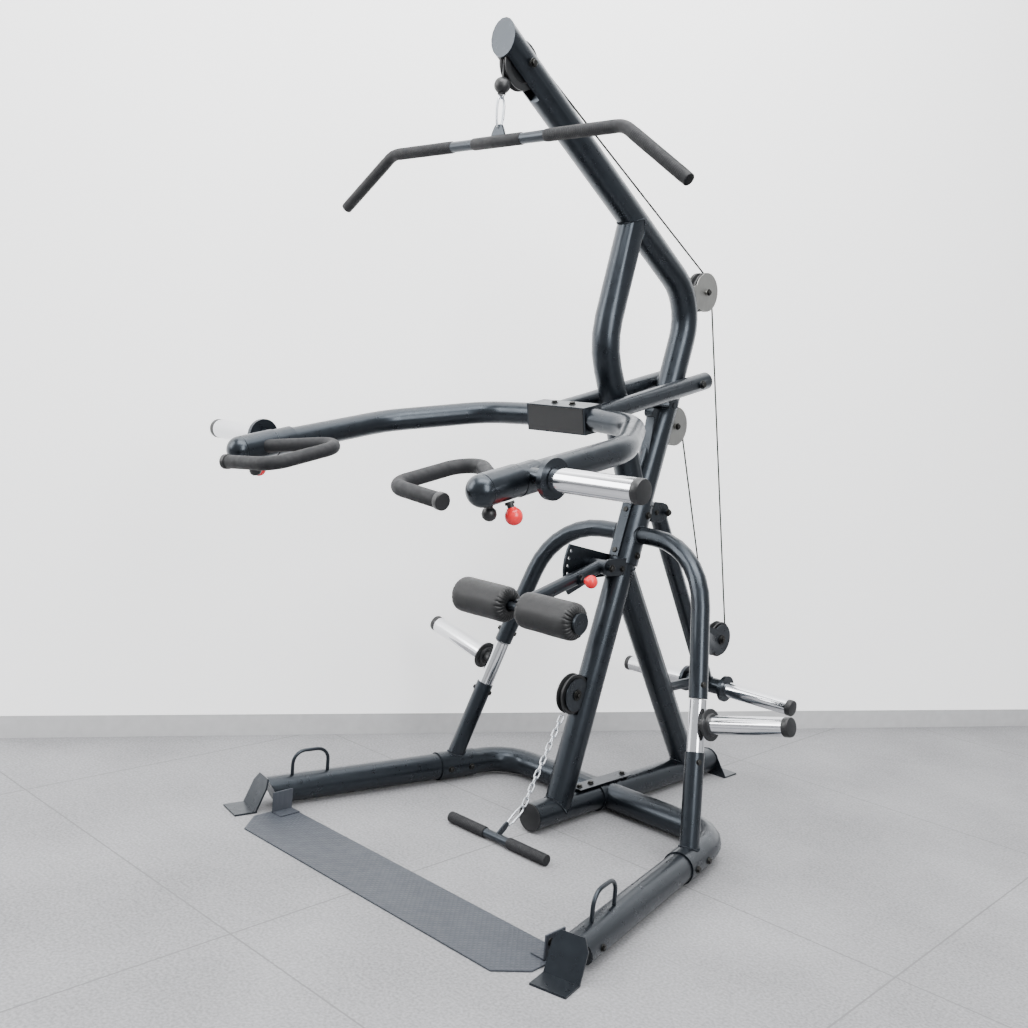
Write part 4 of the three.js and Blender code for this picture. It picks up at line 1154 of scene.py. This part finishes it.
class GYM_OT_welds(bpy.types.Operator):
    """Lays the weld beads where one tube runs into another"""

    bl_idname = "gym.welds"
    bl_label = "Weld beads"

    def execute(self, context):
        column_axis = column_point(800) - column_point(100)
        beads = []
        for side in (-1, 1):
            post = Vector((POST_RISE.x * side, POST_RISE.y, 1))
            foot = Vector((427 * side, 50, 69))
            leg = Vector((LEG_DIRECTION.x * side, LEG_DIRECTION.y, 0))
            beads += seam(foot + post * 200, -post, 25, (427 * side, 50, 42), leg, 41.5)
            arch = Vector((258 * side, 230, 804)) - column_point(806)
            beads += seam(column_point(806) + arch * 0.9, -arch, 25, column_point(806),
                          column_axis, 44.2)
        beads += seam(column_point(400), -column_axis, 38, (0, 0, 42), (0, 1, 0), 38)
        strut = Vector((0, 214 - 660, 720 - 42))
        beads += seam(Vector((0, 660, 42)) + strut * 0.5, -strut, 38, (0, 0, 42), (0, 1, 0), 38)
        beads += seam(Vector((0, 660, 42)) + strut * 0.4, strut, 38, column_point(400),
                      column_axis, 38)
        prop = Vector((0, 128 - 50, 1660 - 1322))
        boom = Vector((0, -413 - 437, 1976 - 1478))
        beads += seam(Vector((0, 50, 1322)) + prop * 0.4, prop, 38, (0, 437, 1478), boom, 38)
        made = repeat("weld_beads", weld_drop(), beads, LOOKS["coat"])
        hand_over(made, "frame", "coated")
        lever = LEVER_FOOT - LEVER_PIVOT
        ring = seam(LEVER_PIVOT + lever * 0.6, lever, 25, LEVER_FOOT, (1, 0, 0), 25)
        hand_over(repeat("lever_welds", weld_drop(), ring, LOOKS["coat"]), "lever", "coated")
        return {"FINISHED"}


# ---- stage ---------------------------------------------------------------------------------

CAMERA_AT = Vector((1.8788, -2.2722, 1.165))
CAMERA_RIGHT = Vector((0.72559, 0.68292, 0.08445))
CAMERA_UP = Vector((-0.13387, 0.01972, 0.99080))
WALL_FROM = Vector((-1.455, -0.883, 0))
WALL_TO = Vector((0.446, 2.493, 0))


class GYM_OT_stage(bpy.types.Operator):
    """Sets the floor, the wall with its skirting, the lights and the camera"""

    bl_idname = "gym.stage"
    bl_label = "Stage"

    def panel(self, name, corners, look):
        mesh = bpy.data.meshes.new(name)
        mesh.from_pydata([tuple(c) for c in corners], [], [tuple(range(len(corners)))])
        mesh.materials.append(look)
        in_scene(name, mesh)

    def light(self, name, place, target, size, power):
        data = bpy.data.lights.new(name, "AREA")
        data.shape = "RECTANGLE"
        data.size, data.size_y = size
        data.energy = power
        made = in_scene(name, data)
        made.location = place
        aim = Vector(target) - Vector(place)
        made.rotation_euler = aim.to_track_quat("-Z", "Y").to_euler()

    def execute(self, context):
        settings = context.scene.gym
        white = wall_look(settings)
        along = (WALL_TO - WALL_FROM).normalized()
        out = Vector((along.y, -along.x, 0))
        a, b = WALL_FROM - along * 5, WALL_TO + along * 5
        up = Vector((0, 0, 5))
        self.panel("wall", [a, b, b + up, a + up], white)
        foot = out * 0.012
        rise = Vector((0, 0, 0.07))
        self.panel("skirting", [a + foot, b + foot, b + foot + rise, a + foot + rise],
                   plastic_look("Pale grey skirting", srgb("b9b9ba"), 0.6, 90))
        self.panel("floor", [(-9, -9, 0), (9, -9, 0), (9, 9, 0), (-9, 9, 0)], floor_look(settings))
        self.light("overhead", (0.5, -0.6, 3.6), (0, 0, 0.6), (3.2, 3.2), 170)
        self.light("front_left", (-2.0, -3.2, 2.6), (0, 0, 0.9), (1.8, 2.4), 120)
        self.light("front_right", (3.4, -1.4, 2.4), (0, 0.1, 0.9), (1.6, 2.4), 120)
        self.light("wall_wash", (1.2, -1.0, 4.2), (-0.9, 1.2, 1.2), (3.5, 1.5), 110)
        world = bpy.data.worlds.new("Bright room")
        world.use_nodes = True
        sky = world.node_tree.nodes["Background"]
        sky.inputs["Color"].default_value = (*srgb("f6f8fb"), 1)
        sky.inputs["Strength"].default_value = 0.75
        context.scene.world = world
        data = bpy.data.cameras.new("photo_view")
        data.sensor_width = 36
        data.lens = 38.87
        data.clip_start = 0.05
        camera = bpy.data.objects.new("photo_view", data)
        context.collection.objects.link(camera)
        back = CAMERA_RIGHT.cross(CAMERA_UP)
        turn = Matrix((CAMERA_RIGHT, CAMERA_UP, back)).transposed()
        camera.matrix_world = Matrix.Translation(CAMERA_AT) @ turn.to_4x4()
        context.scene.camera = camera
        context.scene.render.resolution_x = 1028
        context.scene.render.resolution_y = 1028
        return {"FINISHED"}


# ---- add-on --------------------------------------------------------------------------------

STEPS = (
    GYM_OT_finishes,
    GYM_OT_tubework,
    GYM_OT_trim,
    GYM_OT_horns,
    GYM_OT_handles,
    GYM_OT_pins,
    GYM_OT_pulleys,
    GYM_OT_lat_gear,
    GYM_OT_cables,
    GYM_OT_low_gear,
    GYM_OT_rollers,
    GYM_OT_fasteners,
    GYM_OT_welds,
    GYM_OT_stage,
)


class GYM_PT_panel(bpy.types.Panel):
    """Buttons for each step, in order."""

    bl_idname = "GYM_PT_panel"
    bl_label = "Leverage gym"
    bl_space_type = "VIEW_3D"
    bl_region_type = "UI"
    bl_category = "Gym"

    def draw(self, context):
        for step in STEPS:
            self.layout.operator(step.bl_idname)


def register():
    for cls in (GymSettings, *STEPS, GYM_PT_panel):
        bpy.utils.register_class(cls)
    bpy.types.Scene.gym = PointerProperty(type=GymSettings)


def unregister():
    del bpy.types.Scene.gym
    for cls in reversed((GymSettings, *STEPS, GYM_PT_panel)):
        bpy.utils.unregister_class(cls)


def corners(pair):
    return [list(corner) for corner in pair]


def main():
    register()
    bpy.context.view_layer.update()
    for step in STEPS:
        family, name = step.bl_idname.split(".")
        getattr(getattr(bpy.ops, family), name)()


if __name__ == "__main__":
    main()
